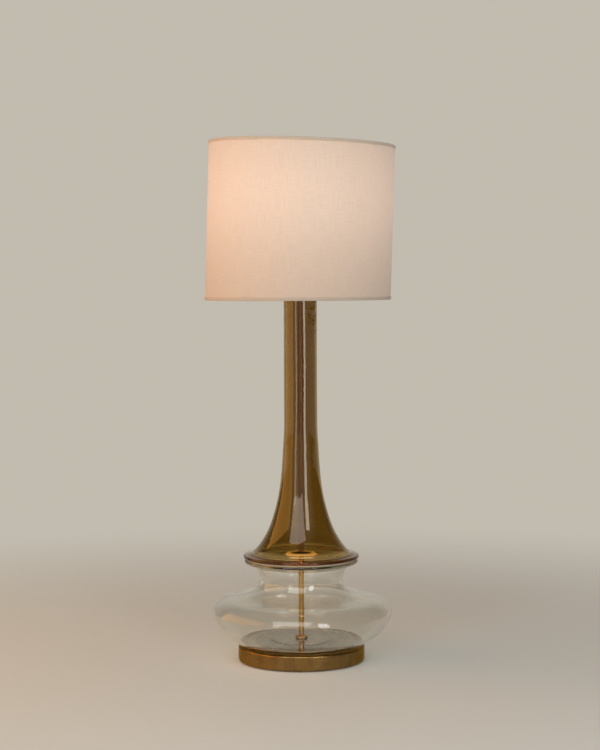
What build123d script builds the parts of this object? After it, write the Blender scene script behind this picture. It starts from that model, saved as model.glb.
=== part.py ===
from build123d import *
import math
import os

# Table lamp: a brown glass trumpet stands on a clear glass bowl, and the bowl on a brass base.
# One threaded tube runs up the axis and clamps base, bowl, trumpet and lampholder together.
# Millimetres. +Z is up, the origin is on the axis at table height, -Y is the front.

# ---------------------------------------------------------------- driving dimensions

# running and locating clearances, all radial or axial gaps
thread_clearance = 0.06      # nut or ring on its thread
hole_clearance = 1.0         # tube through a glass, iron or brass hole
bush_clearance = 0.2         # rubber or plastic bush in its hole
turning_gap = 0.3            # faces that pass each other when something turns
cut_margin = 1.0             # a cutting solid runs this far past the face it cuts
wall_points = 24             # points that an inner wall takes from its outer curve

# centre tube, M10 x 1
tube_radius = 5.0
tube_bore_radius = 4.0
tube_below_nut = 1.8
tube_into_holder = 9.0

# base
base_radius = 120.0
base_height = 30.0
base_lift = 1.0              # the brass edge stands this far off the table, on its felt
cover_wall = 1.6
cover_top_round = 3.0
cover_foot_round = 4.0
cover_lip_width = 7.0        # the edge spun inwards under the iron
felt_side_gap = 0.5
weight_side_gap = 2.0
weight_lip_gap = 0.2
weight_web_height = 12.0
weight_rim_width = 18.0
weight_hub_radius = 26.0
weight_corner = 2.6
nut_recess_radius = 18.0
nut_recess_depth = 20.0

# cord inlet at the back of the base
inlet_bore_radius = 3.25
inlet_barrel_radius = 5.0
inlet_flange_radius = 7.5
inlet_flange_thickness = 1.5
inlet_barrel_length = 9.0
inlet_height = 11.0          # of its axis above the table
inlet_channel_margin = 1.0   # cord channel in the iron, wider than the barrel on each side

# nuts and washers on the tube
hex_nut_flats = 14.0
hex_nut_height = 4.0
base_washer_radius = 13.0
base_washer_thickness = 2.0
lock_washer_radius = 9.0
lock_washer_thickness = 1.0
lock_washer_notches = 12
lock_washer_notch_radius = 1.0
ring_nut_radius = 11.0
ring_nut_height = 3.0
ring_nut_edge = 0.6
bowl_washer_radius = 11.8
bowl_washer_thickness = 1.2
top_nut_radius = 11.0
top_nut_height = 5.0
top_nut_sides = 24

# clear bowl: heights are above its own foot
bowl_pad_thickness = 1.0
bowl_pad_inset = 2.0         # from the edge of the bowl's flat foot
bowl_pad_width = 14.0
bowl_wall = 4.0
bowl_floor_thickness = 5.0
bowl_boss_radius = 58.0      # thicker disc in the middle of its floor
bowl_boss_rise = 1.4
bowl_foot_radius = 104.0
bowl_haunch_radius = 140.5
bowl_haunch_height = 16.5
bowl_flank_radius = 163.5
bowl_flank_height = 38.5
bowl_belly_radius = 171.5
bowl_belly_height = 62.0
bowl_shoulder_radius = 153.5
bowl_shoulder_height = 84.5
bowl_collar_radius = 106.0
bowl_collar_height = 94.5
bowl_throat_radius = 83.5
bowl_throat_height = 111.0
bowl_neck_radius = 79.5
bowl_neck_height = 128.0
bowl_rim_radius = 108.0
bowl_rim_round = 3.5
bowl_height = 162.5
bowl_wall_share = 0.93       # the inner wall follows this much of the outer curve

# gasket between the bowl's rim and the trumpet's foot
rim_gasket_thickness = 2.0
rim_gasket_inset = 2.5       # from the outside of the bowl's rim
rim_gasket_width = 5.5

# brown trumpet: heights are above its own foot
trumpet_height = 572.5
trumpet_wall = 3.0
trumpet_neck_radius = 31.6
trumpet_neck_start = 254.5   # the neck is straight above this height
flare_radii = (33.7, 37.0, 43.0, 51.8, 65.0, 78.5)
flare_heights = (210.5, 162.5, 119.5, 84.5, 49.5, 27.5)
trumpet_kink_radius = 88.0
trumpet_kink_height = 16.0
kink_slope_above = 43.8      # degrees down from level
kink_slope_below = 31.9
trumpet_step_radius = 96.0
trumpet_step_height = 9.4
trumpet_rim_radius = 110.0
trumpet_rim_round = 3.5
foot_web_thickness = 4.2     # glass floor of the trumpet, at its hole
foot_web_edge_height = 4.6   # the floor is thicker where it meets the wall
foot_hollow_radius = 96.0    # where floor and wall would meet in a sharp edge
foot_corner_round = 1.5
foot_hole_radius = 19.5
foot_bead_round = 4.6        # the melted edge of the hole is a thick bead

# rubber bush in the foot's hole
foot_bush_thickness = 4.5
foot_bush_collar_radius = 8.5
foot_bush_collar_height = 3.0

# cap on the trumpet's neck
cap_gasket_thickness = 1.5
cap_gasket_width = 5.0
neck_cap_thickness = 4.0
neck_cap_wall = 1.8
neck_cap_skirt = 12.0
neck_cap_side_gap = 0.6
neck_cap_round = 1.5

# lampholder for an E27 bulb
holder_radius = 21.5
holder_wall = 2.0
holder_boss_radius = 9.5
holder_boss_height = 7.0
holder_cup_height = 18.0
holder_round = 5.0
skirt_thread_radius = 19.8
skirt_bore_radius = 13.6
skirt_height = 30.0
skirt_overlap = 5.0          # how far the skirt screws down into the cup
skirt_collar_height = 2.0
insert_height = 15.0
insert_side_gap = 0.4
insert_pocket_depth = 5.0    # room for the end of the centre tube
insert_shoulder = 0.6        # how far its upper part is narrower than the skirt's bore
terminal_spread = 9.0
terminal_screw_radius = 1.9
terminal_screw_length = 7.0
terminal_hole_extra = 1.0
terminal_head_radius = 3.1
terminal_head_height = 1.6
grub_screw_radius = 1.5
grub_screw_length = 4.5
leaf_width = 6.0
leaf_length = 12.0
leaf_thickness = 0.5
leaf_rise = 3.0
side_contact_radius = 12.6
side_contact_width = 5.0
side_contact_height = 7.0

# rings that hold the shade on the lampholder
seat_ring_radius = 27.0
seat_ring_height = 4.0
clamp_ring_radius = 26.0
clamp_ring_height = 5.0
clamp_ring_grips = 24
grip_radius = 1.2

# bulb, E27 with a 60 mm globe
bulb_cap_radius = 13.2
bulb_cap_height = 22.0
bulb_cap_wall = 0.5
bulb_thread_depth = 0.7
bulb_ridge_radius = 1.05
bulb_thread_start = 2.7      # height of the first ridge above the shell's foot
bulb_thread_pitch = 3.6
bulb_thread_turns = 5
bulb_contact_radius = 4.8
bulb_contact_height = 1.4
bulb_insulator_height = 3.2
bulb_insulator_radius = 9.5
bulb_length = 108.0
globe_radius = 30.0
globe_wall = 1.0
bulb_neck_radius = 12.9
bulb_cheek_radius = 18.6
bulb_cheek_height = 24.7     # above the top of the screw shell
stem_disc_thickness = 1.7
stem_radius = 4.0
stem_length = 26.0
filament_radius = 1.1
filament_length = 34.0
filament_circle = 9.0
filament_count = 4

# shade
shade_radius = 175.0
shade_height = 293.3
shade_bottom = 685.0         # above the table
shade_lean = 9.0             # its top has slipped this far to the right of its bottom
shade_top_tilt = 1.94        # degrees, the top ring dips to the right
panel_thickness = 1.2
trim_thickness = 0.7
trim_height = 6.0
ring_wire_radius = 1.75
ring_side_gap = 0.15
carrier_thickness = 1.6
carrier_bore_gap = 0.8
carrier_radius = 30.5
arm_wire_radius = 2.0
arm_notch_gap = 0.3          # room round each arm where the bottom binding is cut for it
arm_count = 3
arm_first_angle = 90.0
arm_level_reach = 48.0       # the arms run level this far out, then slope down
arm_bend = 14.0

# ---------------------------------------------------------------- heights worked out upwards

cover_bottom = base_lift
weight_bottom = cover_bottom + cover_wall + weight_lip_gap
cover_inside_top = base_height - cover_wall
nut_recess_top = weight_bottom + nut_recess_depth
base_washer_bottom = nut_recess_top - base_washer_thickness
lock_washer_bottom = base_washer_bottom - lock_washer_thickness
base_nut_bottom = lock_washer_bottom - hex_nut_height
tube_bottom = base_nut_bottom - tube_below_nut

bowl_foot = base_height + bowl_pad_thickness
bowl_boss_top = bowl_foot + bowl_floor_thickness + bowl_boss_rise
ring_nut_bottom = bowl_boss_top + bowl_washer_thickness
trumpet_foot = bowl_foot + bowl_height + rim_gasket_thickness
trumpet_top = trumpet_foot + trumpet_height
neck_cap_bottom = trumpet_top + cap_gasket_thickness
top_nut_bottom = neck_cap_bottom + neck_cap_thickness
holder_bottom = top_nut_bottom + top_nut_height
tube_top = holder_bottom + tube_into_holder

cup_bottom = holder_bottom + holder_boss_height
cup_top = cup_bottom + holder_cup_height
skirt_bottom = cup_top - skirt_overlap
skirt_top = skirt_bottom + skirt_height
insert_bottom = cup_bottom + holder_wall
insert_top = insert_bottom + insert_height
insert_radius = holder_radius - holder_wall - insert_side_gap
bulb_tip = insert_top + leaf_rise + turning_gap
skirt_collar_top = cup_top + skirt_collar_height
seat_ring_top = skirt_collar_top + seat_ring_height
carrier_bottom = seat_ring_top + turning_gap
carrier_top = carrier_bottom + carrier_thickness
clamp_ring_bottom = carrier_top + turning_gap

bulb_insulator_bottom = bulb_tip + bulb_contact_height
bulb_cap_bottom = bulb_insulator_bottom + bulb_insulator_height
bulb_cap_top = bulb_cap_bottom + bulb_cap_height
globe_centre = bulb_tip + bulb_length - globe_radius

shade_top = shade_bottom + shade_height
ring_circle_radius = shade_radius - panel_thickness - ring_side_gap - ring_wire_radius


# ---------------------------------------------------------------- helpers

def rz(radius, height):
    """A point of a half section: distance from the axis and height."""
    return Vector(radius, 0, height)


def turned(*edges):
    """The solid turned about the axis from a closed half section."""
    return revolve(make_face(Wire(list(edges))), axis=Axis.Z)


def section(*points):
    """A closed half section of straight lines, turned about the axis."""
    return turned(*Polyline(*[rz(*p) for p in points], close=True).edges())


def ring(outer_radius, inner_radius, bottom, height):
    """A flat ring round the axis."""
    blank = Cylinder(outer_radius, height) - Cylinder(inner_radius, height)
    return Pos(0, 0, bottom + height / 2) * blank


def rod(radius, bottom, top):
    """A plain rod on the axis."""
    return Pos(0, 0, (bottom + top) / 2) * Cylinder(radius, top - bottom)


def beside(curve, distance, first, last, count):
    """Points at a distance to the right of a half section's curve, going along it."""
    count = round(count)
    points = []
    for k in range(count):
        u = first + (last - first) * k / (count - 1)
        along = curve % u
        points.append((curve @ u) + Vector(along.Z, 0, -along.X) * distance)
    return points


def threaded_hole(bottom, height):
    """The hole that a nut or a washer has for the centre tube."""
    return rod(tube_radius + thread_clearance, bottom, bottom + height)


# ---------------------------------------------------------------- base

def base_cover():
    """Spun brass cup, upside down, with its edge turned in under the iron."""
    outside = rod(base_radius, cover_bottom, base_height)
    outside = fillet(outside.edges().filter_by(GeomType.CIRCLE).sort_by(Axis.Z)[-1], cover_top_round)
    outside = fillet(outside.edges().filter_by(GeomType.CIRCLE).sort_by(Axis.Z)[0], cover_foot_round)
    inside = rod(base_radius - cover_wall, cover_bottom + cover_wall, cover_inside_top)
    inside_circles = inside.edges().filter_by(GeomType.CIRCLE)
    inside = fillet(inside_circles.sort_by(Axis.Z)[-1], cover_top_round - cover_wall)
    inside = fillet(inside.edges().filter_by(GeomType.CIRCLE).sort_by(Axis.Z)[0], cover_foot_round - cover_wall)
    mouth = rod(base_radius - cover_lip_width, 0, cover_bottom + 2 * cover_wall)
    tube_hole = rod(tube_radius + hole_clearance, cover_inside_top - cut_margin, base_height + cut_margin)
    return outside - inside - mouth - tube_hole - inlet_cylinder(inlet_barrel_radius + bush_clearance)


def inlet_cylinder(radius):
    """A cylinder along the cord inlet's axis, through the back of the base."""
    reach = 2 * inlet_barrel_length
    middle = Pos(0, base_radius, inlet_height)
    return middle * Rot(90, 0, 0) * Cylinder(radius, 2 * reach)


def base_weight():
    """Iron casting: hub, web and rim, with a recess for the nut and a channel for the cord."""
    radius = base_radius - cover_wall - weight_side_gap
    web_top = weight_bottom + weight_web_height
    rim_inner = radius - weight_rim_width
    casting = section(
        (tube_radius + hole_clearance, nut_recess_top),
        (nut_recess_radius, nut_recess_top),
        (nut_recess_radius, weight_bottom),
        (radius - weight_corner, weight_bottom),
        (radius, weight_bottom + weight_corner),
        (radius, cover_inside_top - weight_corner),
        (radius - weight_corner, cover_inside_top),
        (rim_inner, cover_inside_top),
        (rim_inner, web_top),
        (weight_hub_radius, web_top),
        (weight_hub_radius, cover_inside_top),
        (tube_radius + hole_clearance, cover_inside_top),
    )
    half_width = inlet_barrel_radius + inlet_channel_margin
    channel_top = inlet_height + half_width
    channel = Pos(0, base_radius / 2, (channel_top + weight_bottom) / 2) * Box(
        2 * half_width, base_radius, channel_top - weight_bottom
    )
    return casting - channel


def inlet_bush():
    """Flanged plastic bush that the cord comes in through; its flange follows the round side."""
    blank = inlet_cylinder(inlet_barrel_radius)
    barrel = blank & Pos(0, base_radius + inlet_flange_thickness - inlet_barrel_length / 2, inlet_height) * Box(
        4 * inlet_flange_radius, inlet_barrel_length, 4 * inlet_flange_radius
    )
    plate = Pos(0, base_radius, inlet_height) * Rot(90, 0, 0) * Cylinder(
        inlet_flange_radius, 2 * inlet_flange_thickness
    )
    flange = plate - rod(base_radius, 0, base_height)
    return barrel + flange - inlet_cylinder(inlet_bore_radius)


def felt_pad():
    """Felt disc on the iron, standing just proud of the brass edge."""
    return rod(base_radius - cover_lip_width - felt_side_gap, 0, weight_bottom)


def base_washer():
    blank = rod(base_washer_radius, base_washer_bottom, nut_recess_top)
    return blank - threaded_hole(base_washer_bottom, base_washer_thickness)


def base_lock_washer():
    """Toothed washer, with notches round its edge."""
    blank = rod(lock_washer_radius, lock_washer_bottom, base_washer_bottom)
    notch = Cylinder(lock_washer_notch_radius, 2 * (lock_washer_thickness + cut_margin))
    notches = PolarLocations(lock_washer_radius, lock_washer_notches) * notch
    blank -= Pos(0, 0, lock_washer_bottom) * Compound(children=[*notches])
    return blank - threaded_hole(lock_washer_bottom, lock_washer_thickness)


def base_nut():
    hexagon = RegularPolygon(hex_nut_flats / 2, 6, major_radius=False)
    blank = Pos(0, 0, base_nut_bottom) * extrude(hexagon, hex_nut_height)
    return blank - threaded_hole(base_nut_bottom, hex_nut_height)


# ---------------------------------------------------------------- centre tube and its nuts

def centre_tube():
    return ring(tube_radius, tube_bore_radius, tube_bottom, tube_top - tube_bottom)


def bowl_ring_nut():
    """Round brass nut on the bowl's floor, its top edge eased."""
    blank = rod(ring_nut_radius, ring_nut_bottom, ring_nut_bottom + ring_nut_height)
    blank = chamfer(blank.edges().filter_by(GeomType.CIRCLE).sort_by(Axis.Z)[-1], ring_nut_edge)
    return blank - threaded_hole(ring_nut_bottom, ring_nut_height)


def bowl_inner_washer():
    inner = tube_radius + bush_clearance
    return ring(bowl_washer_radius, inner, bowl_boss_top, bowl_washer_thickness)


def top_nut():
    """Knurled round nut that pulls the whole stack together."""
    blank = Pos(0, 0, top_nut_bottom) * extrude(RegularPolygon(top_nut_radius, top_nut_sides), top_nut_height)
    return blank - threaded_hole(top_nut_bottom, top_nut_height)


# ---------------------------------------------------------------- clear bowl

def bowl_pad():
    """Thin ring under the edge of the bowl's foot."""
    outer = bowl_foot_radius - bowl_pad_inset
    return ring(outer, outer - bowl_pad_width, base_height, bowl_pad_thickness)


def bowl_outline():
    """Outer curve of the bowl, from the edge of its flat foot up to under its rim."""
    stations = (
        (bowl_foot_radius, 0),
        (bowl_haunch_radius, bowl_haunch_height),
        (bowl_flank_radius, bowl_flank_height),
        (bowl_belly_radius, bowl_belly_height),
        (bowl_shoulder_radius, bowl_shoulder_height),
        (bowl_collar_radius, bowl_collar_height),
        (bowl_throat_radius, bowl_throat_height),
        (bowl_neck_radius, bowl_neck_height),
        (bowl_rim_radius - bowl_rim_round, bowl_height - 2 * bowl_rim_round),
    )
    points = [rz(radius, bowl_foot + height) for radius, height in stations]
    return Spline(*points, tangents=[(1, 0, 0), (1, 0, 0)])


def glass_bowl():
    """Blown bowl: flat foot, wide belly, narrow neck and a round turned-out rim."""
    outer = bowl_outline()
    rim_centre_radius = bowl_rim_radius - bowl_rim_round
    rim_centre_height = bowl_foot + bowl_height - bowl_rim_round
    rim = ThreePointArc(
        outer @ 1,
        rz(bowl_rim_radius, rim_centre_height),
        rz(rim_centre_radius, rim_centre_height + bowl_rim_round),
    )
    inner = Spline(rim @ 1, *beside(outer, -bowl_wall, bowl_wall_share, 0, wall_points))
    floor_height = bowl_foot + bowl_floor_thickness
    step_radius = bowl_boss_radius + 2 * bowl_boss_rise
    hole_radius = tube_radius + hole_clearance
    floor = Polyline(
        inner @ 1,
        rz(step_radius, floor_height),
        rz(bowl_boss_radius, bowl_boss_top),
        rz(hole_radius, bowl_boss_top),
        rz(hole_radius, bowl_foot),
        outer @ 0,
    )
    return turned(outer, rim, inner, *floor.edges())


def rim_gasket():
    """Ring that keeps the two glasses apart."""
    outer = bowl_rim_radius - rim_gasket_inset
    return ring(outer, outer - rim_gasket_width, bowl_foot + bowl_height, rim_gasket_thickness)


# ---------------------------------------------------------------- brown trumpet

def downwards(degrees):
    """Direction in a half section that goes outwards and down by an angle."""
    return (math.cos(math.radians(degrees)), 0, -math.sin(math.radians(degrees)))


def flare_outline():
    """Outer curve of the trumpet from the straight neck down to the kink above its foot."""
    points = [rz(trumpet_neck_radius, trumpet_foot + trumpet_neck_start)]
    points += [rz(r, trumpet_foot + h) for r, h in zip(flare_radii, flare_heights)]
    points.append(rz(trumpet_kink_radius, trumpet_foot + trumpet_kink_height))
    return Spline(*points, tangents=[(0, 0, -1), downwards(kink_slope_above)])


def trumpet_body(flare):
    """Outside of the trumpet as one solid form."""
    rim_centre_radius = trumpet_rim_radius - trumpet_rim_round
    rim_top = rz(rim_centre_radius, trumpet_foot + 2 * trumpet_rim_round)
    step = Spline(
        flare @ 1,
        rz(trumpet_step_radius, trumpet_foot + trumpet_step_height),
        rim_top,
        tangents=[downwards(kink_slope_below), (1, 0, 0)],
    )
    rim = ThreePointArc(
        rim_top,
        rz(trumpet_rim_radius, trumpet_foot + trumpet_rim_round),
        rz(rim_centre_radius, trumpet_foot),
    )
    neck_line = Polyline(
        rim @ 1,
        rz(0, trumpet_foot),
        rz(0, trumpet_top),
        rz(trumpet_neck_radius, trumpet_top),
        flare @ 0,
    )
    return turned(flare, step, rim, *neck_line.edges())


def trumpet_cavity(flare):
    """Inside of the trumpet, down to its glass floor."""
    wall = beside(flare, trumpet_wall, 0, 1, wall_points)
    inner_flare = Spline(*wall, tangents=[(0, 0, -1), flare % 1])
    neck_inside = trumpet_neck_radius - trumpet_wall
    floor_edge = rz(foot_hollow_radius, trumpet_foot + foot_web_edge_height)
    floor = Polyline(
        inner_flare @ 1,
        floor_edge,
        rz(0, trumpet_foot + foot_web_thickness),
        rz(0, trumpet_top),
        rz(neck_inside, trumpet_top),
        inner_flare @ 0,
    )
    cavity = make_face(Wire([inner_flare, *floor.edges()]))
    corner = cavity.vertices().sort_by_distance(floor_edge)[0]
    return revolve(fillet(corner, foot_corner_round), axis=Axis.Z)


def trumpet_glass():
    """Blown trumpet with a straight neck, a flared foot and a glass floor with a beaded hole."""
    flare = flare_outline()
    bead_circle = foot_hole_radius + foot_bead_round
    bead_height = trumpet_foot + foot_bead_round
    bead = Pos(0, 0, bead_height) * Torus(bead_circle, foot_bead_round)
    hole = rod(bead_circle, trumpet_foot, trumpet_foot + 3 * foot_bead_round)
    return trumpet_body(flare) - trumpet_cavity(flare) - hole + bead


def foot_bush():
    """Rubber bush that centres the trumpet's foot on the tube."""
    plate_radius = foot_hole_radius - bush_clearance
    plate_bottom = trumpet_foot + foot_bead_round - foot_bush_thickness / 2
    plate_top = plate_bottom + foot_bush_thickness
    blank = rod(plate_radius, plate_bottom, plate_top)
    blank += rod(foot_bush_collar_radius, plate_top, plate_top + foot_bush_collar_height)
    return blank - rod(tube_radius + bush_clearance, plate_bottom, plate_top + foot_bush_collar_height)


# ---------------------------------------------------------------- cap on the neck

def cap_gasket():
    return ring(trumpet_neck_radius, trumpet_neck_radius - cap_gasket_width, trumpet_top, cap_gasket_thickness)


def neck_cap():
    """Turned brass cap that sits over the end of the neck."""
    bore_radius = trumpet_neck_radius + neck_cap_side_gap
    skirt_end = neck_cap_bottom - neck_cap_skirt
    cap_top = neck_cap_bottom + neck_cap_thickness
    blank = rod(bore_radius + neck_cap_wall, skirt_end, cap_top)
    blank = fillet(blank.edges().filter_by(GeomType.CIRCLE).sort_by(Axis.Z)[-1], neck_cap_round)
    blank -= rod(bore_radius, skirt_end, neck_cap_bottom)
    return blank - rod(tube_radius + hole_clearance, neck_cap_bottom, cap_top)


# ---------------------------------------------------------------- lampholder

def holder_cup():
    """Lower half of the lampholder, with the threaded boss that takes the tube."""
    blank = rod(holder_boss_radius, holder_bottom, cup_bottom + holder_wall)
    cup = rod(holder_radius, cup_bottom, cup_top)
    cup = fillet(cup.edges().filter_by(GeomType.CIRCLE).sort_by(Axis.Z)[0], holder_round)
    blank = blank + cup
    blank -= rod(holder_radius - holder_wall, insert_bottom, cup_top)
    grub = Pos(0, holder_boss_radius, holder_bottom + holder_boss_height / 2)
    blank -= grub * Rot(90, 0, 0) * Cylinder(grub_screw_radius + thread_clearance, 2 * grub_screw_length)
    return blank - rod(tube_radius + thread_clearance, holder_bottom, insert_bottom)


def holder_grub_screw():
    """Screw in the boss that stops the lampholder from turning on the tube."""
    tip = tube_radius + turning_gap
    middle = Pos(0, tip + grub_screw_length / 2, holder_bottom + holder_boss_height / 2)
    return middle * Rot(90, 0, 0) * Cylinder(grub_screw_radius, grub_screw_length)


def terminal_holes(radius, top, length):
    """Two cylinders for the terminals, down from a height."""
    one = Cylinder(radius, length)
    return [Pos(x, 0, top - length / 2) * one for x in (-terminal_spread, terminal_spread)]


def holder_insert():
    """Porcelain block that carries the contacts and the terminals."""
    blank = rod(insert_radius, insert_bottom, insert_top)
    blank -= rod(tube_radius + hole_clearance, insert_bottom, insert_bottom + insert_pocket_depth)
    shoulder_radius = skirt_bore_radius - insert_shoulder
    blank -= ring(insert_radius + cut_margin, shoulder_radius, skirt_bottom - turning_gap, insert_height)
    hole_depth = terminal_screw_length + terminal_hole_extra
    for hole in terminal_holes(terminal_screw_radius + bush_clearance, insert_top, hole_depth):
        blank -= hole
    return blank


def terminal_screws():
    """The two screws that hold the conductors, one under each contact."""
    screws = []
    head_top = insert_top + terminal_head_height
    shanks = terminal_holes(terminal_screw_radius, insert_top, terminal_screw_length)
    heads = terminal_holes(terminal_head_radius, head_top, terminal_head_height)
    for shank, head in zip(shanks, heads):
        screws.append(shank + head)
    return Compound(children=screws)


def centre_contact():
    """Sprung brass leaf under the bulb's tip."""
    foot = Pos(0, 0, insert_top + leaf_thickness / 2) * Box(leaf_width, leaf_length, leaf_thickness)
    crown_height = insert_top + leaf_rise - leaf_thickness / 2
    crown = Pos(0, 0, crown_height) * Box(leaf_width, leaf_length, leaf_thickness)
    back_height = leaf_rise / 2 + insert_top
    back = Pos(0, leaf_length / 2 - leaf_thickness / 2, back_height) * Box(leaf_width, leaf_thickness, leaf_rise)
    return foot + crown + back


def side_contact():
    """Brass strip that stands beside the bulb's screw shell."""
    post = ring(side_contact_radius, side_contact_radius - leaf_thickness, insert_top, side_contact_height)
    return post & Pos(0, -side_contact_radius, insert_top + side_contact_height / 2) * Box(
        side_contact_width, 2 * side_contact_radius - leaf_length, side_contact_height
    )


def holder_skirt():
    """Upper half of the lampholder: bulb thread inside, ring thread outside."""
    cup_inside = holder_radius - holder_wall
    blank = rod(cup_inside - insert_side_gap, skirt_bottom, cup_top)
    blank += rod(holder_radius, cup_top, skirt_collar_top)
    blank += rod(skirt_thread_radius, skirt_collar_top, skirt_top)
    return blank - rod(skirt_bore_radius, skirt_bottom, skirt_top)


# ---------------------------------------------------------------- rings that hold the shade

def gripped(blank, radius, bottom, height, count):
    """A ring with round finger grooves cut down its edge."""
    grooves = PolarLocations(radius, count) * Cylinder(grip_radius, 3 * height)
    return blank - Pos(0, 0, bottom) * Compound(children=[*grooves])


def seat_ring():
    """Lower threaded ring, the shade's seat."""
    inner = skirt_thread_radius + thread_clearance
    blank = ring(seat_ring_radius, inner, skirt_collar_top, seat_ring_height)
    return gripped(blank, seat_ring_radius, skirt_collar_top, seat_ring_height, clamp_ring_grips)


def clamp_ring():
    """Upper threaded ring, screwed down on the shade's carrier."""
    inner = skirt_thread_radius + thread_clearance
    blank = ring(clamp_ring_radius, inner, clamp_ring_bottom, clamp_ring_height)
    return gripped(blank, clamp_ring_radius, clamp_ring_bottom, clamp_ring_height, clamp_ring_grips)


# ---------------------------------------------------------------- bulb

def bulb_contact():
    """Round solder tip at the foot of the bulb."""
    tip = rod(bulb_contact_radius, bulb_tip, bulb_insulator_bottom)
    return fillet(tip.edges().filter_by(GeomType.CIRCLE).sort_by(Axis.Z)[0], bulb_contact_height / 2)


def bulb_insulator():
    """Black glass cone between the tip and the screw shell."""
    return section(
        (0, bulb_insulator_bottom),
        (bulb_contact_radius, bulb_insulator_bottom),
        (bulb_insulator_radius, bulb_cap_bottom),
        (0, bulb_cap_bottom),
    )


def bulb_cap():
    """Screw shell, its thread shown as rounded ridges."""
    root = bulb_cap_radius - bulb_thread_depth
    shell = rod(root, bulb_cap_bottom, bulb_cap_top)
    for turn in range(bulb_thread_turns):
        height = bulb_cap_bottom + bulb_thread_start + bulb_thread_pitch * turn
        shell += Pos(0, 0, height) * Torus(bulb_cap_radius - bulb_ridge_radius, bulb_ridge_radius)
    lining = rod(root - bulb_cap_wall, bulb_cap_bottom + bulb_cap_wall, bulb_cap_top)
    return shell - lining


def globe_outline(wall):
    """Half section of the bulb's glass, inset by a wall: neck, cheek and globe."""
    bottom = bulb_cap_top
    cheek = rz(bulb_cheek_radius, bottom + bulb_cheek_height)
    globe_side = rz(globe_radius - wall, globe_centre)
    neck = Spline(
        rz(bulb_neck_radius - wall, bottom),
        cheek - Vector(wall, 0, 0),
        globe_side,
        tangents=[(0, 0, 1), (0, 0, 1)],
    )
    top = globe_centre + globe_radius - wall
    slant = (globe_radius - wall) * math.sqrt(0.5)
    crown = ThreePointArc(globe_side, rz(slant, globe_centre + slant), rz(0, top))
    closing = Polyline(rz(0, top), rz(0, bottom), neck @ 0)
    return turned(neck, crown, *closing.edges())


def bulb_globe():
    return globe_outline(0) - globe_outline(globe_wall)


def bulb_stem():
    """Glass stem that holds the filaments, closed on the cap side by a disc."""
    disc_radius = bulb_cap_radius - bulb_thread_depth - bulb_cap_wall - turning_gap
    disc_top = bulb_cap_top - turning_gap
    disc = rod(disc_radius, disc_top - stem_disc_thickness, disc_top)
    return disc + rod(stem_radius, disc_top, bulb_cap_top + stem_length)


def bulb_filaments():
    """Upright light strips on a small disc at the top of the stem."""
    bottom = bulb_cap_top + stem_length
    hub_height = 2 * filament_radius
    lights = rod(filament_circle + 2 * filament_radius, bottom, bottom + hub_height)
    strip = rod(filament_radius, bottom, bottom + hub_height + filament_length)
    for place in PolarLocations(filament_circle, filament_count):
        lights += place * strip
    return lights


# ---------------------------------------------------------------- shade

def bottom_frame():
    """Place of the shade's level bottom edge."""
    return Location((-shade_lean / 2, 0, shade_bottom))


def top_frame():
    """Place of the shade's tilted top edge, its Z pointing down into the shade."""
    return Location((shade_lean / 2, 0, shade_top)) * Rot(0, shade_top_tilt, 0) * Rot(180, 0, 0)


def drum(radius):
    """The leaning drum between the two edges, at a radius."""
    inset = Pos(0, 0, trim_thickness)
    lower = bottom_frame() * inset * Circle(radius)
    upper = top_frame() * inset * Rot(180, 0, 0) * Circle(radius)
    return loft([lower, upper], ruled=True)


def shade_panel():
    """Linen on its stiff backing, one curved wall."""
    return drum(shade_radius) - drum(shade_radius - panel_thickness)


def edge_trim():
    """Rolled binding for one edge: a channel that wraps the wall and the wire."""
    side_gap = 2 * ring_side_gap
    outer = shade_radius + side_gap + trim_thickness
    inner = ring_circle_radius - ring_wire_radius - ring_side_gap - trim_thickness
    blank = ring(outer, inner, 0, trim_height)
    room = ring(outer - trim_thickness, inner + trim_thickness, trim_thickness, trim_height)
    return blank - room


def edge_wire():
    """Round wire just inside the wall."""
    height = trim_thickness + ring_side_gap + ring_wire_radius
    return Pos(0, 0, height) * Torus(ring_circle_radius, ring_wire_radius)


def arm(angle, gap=0):
    """One wire arm, or the room it needs: level from the carrier, then down to the bottom wire."""
    height = carrier_bottom + carrier_thickness / 2
    wire_height = shade_bottom + trim_thickness + ring_side_gap + ring_wire_radius
    end = Vector(
        ring_circle_radius * math.cos(math.radians(angle)) - shade_lean / 2,
        ring_circle_radius * math.sin(math.radians(angle)),
        wire_height,
    )
    out = Vector(end.X, end.Y, 0).normalized()
    start = out * (carrier_radius - arm_wire_radius) + Vector(0, 0, height)
    bend = out * arm_level_reach + Vector(0, 0, height)
    path = FilletPolyline(start, bend, end, radius=arm_bend)
    return sweep(Plane(origin=start, z_dir=out) * Circle(arm_wire_radius + gap), path=path)


def arms(gap=0):
    """All the arms, evenly round the shade."""
    return [arm(arm_first_angle + number * 360 / arm_count, gap) for number in range(arm_count)]


def shade_carrier():
    """Welded wire frame: centre ring, arms and the bottom wire."""
    bore = skirt_thread_radius + carrier_bore_gap
    frame = ring(carrier_radius, bore, carrier_bottom, carrier_thickness)
    for wire in arms():
        frame += wire
    return frame + bottom_frame() * edge_wire()


def bottom_trim():
    """Bottom binding, cut where the arms pass."""
    binding = bottom_frame() * edge_trim()
    for room in arms(arm_notch_gap):
        binding -= room
    return binding


# ---------------------------------------------------------------- write every piece

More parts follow.
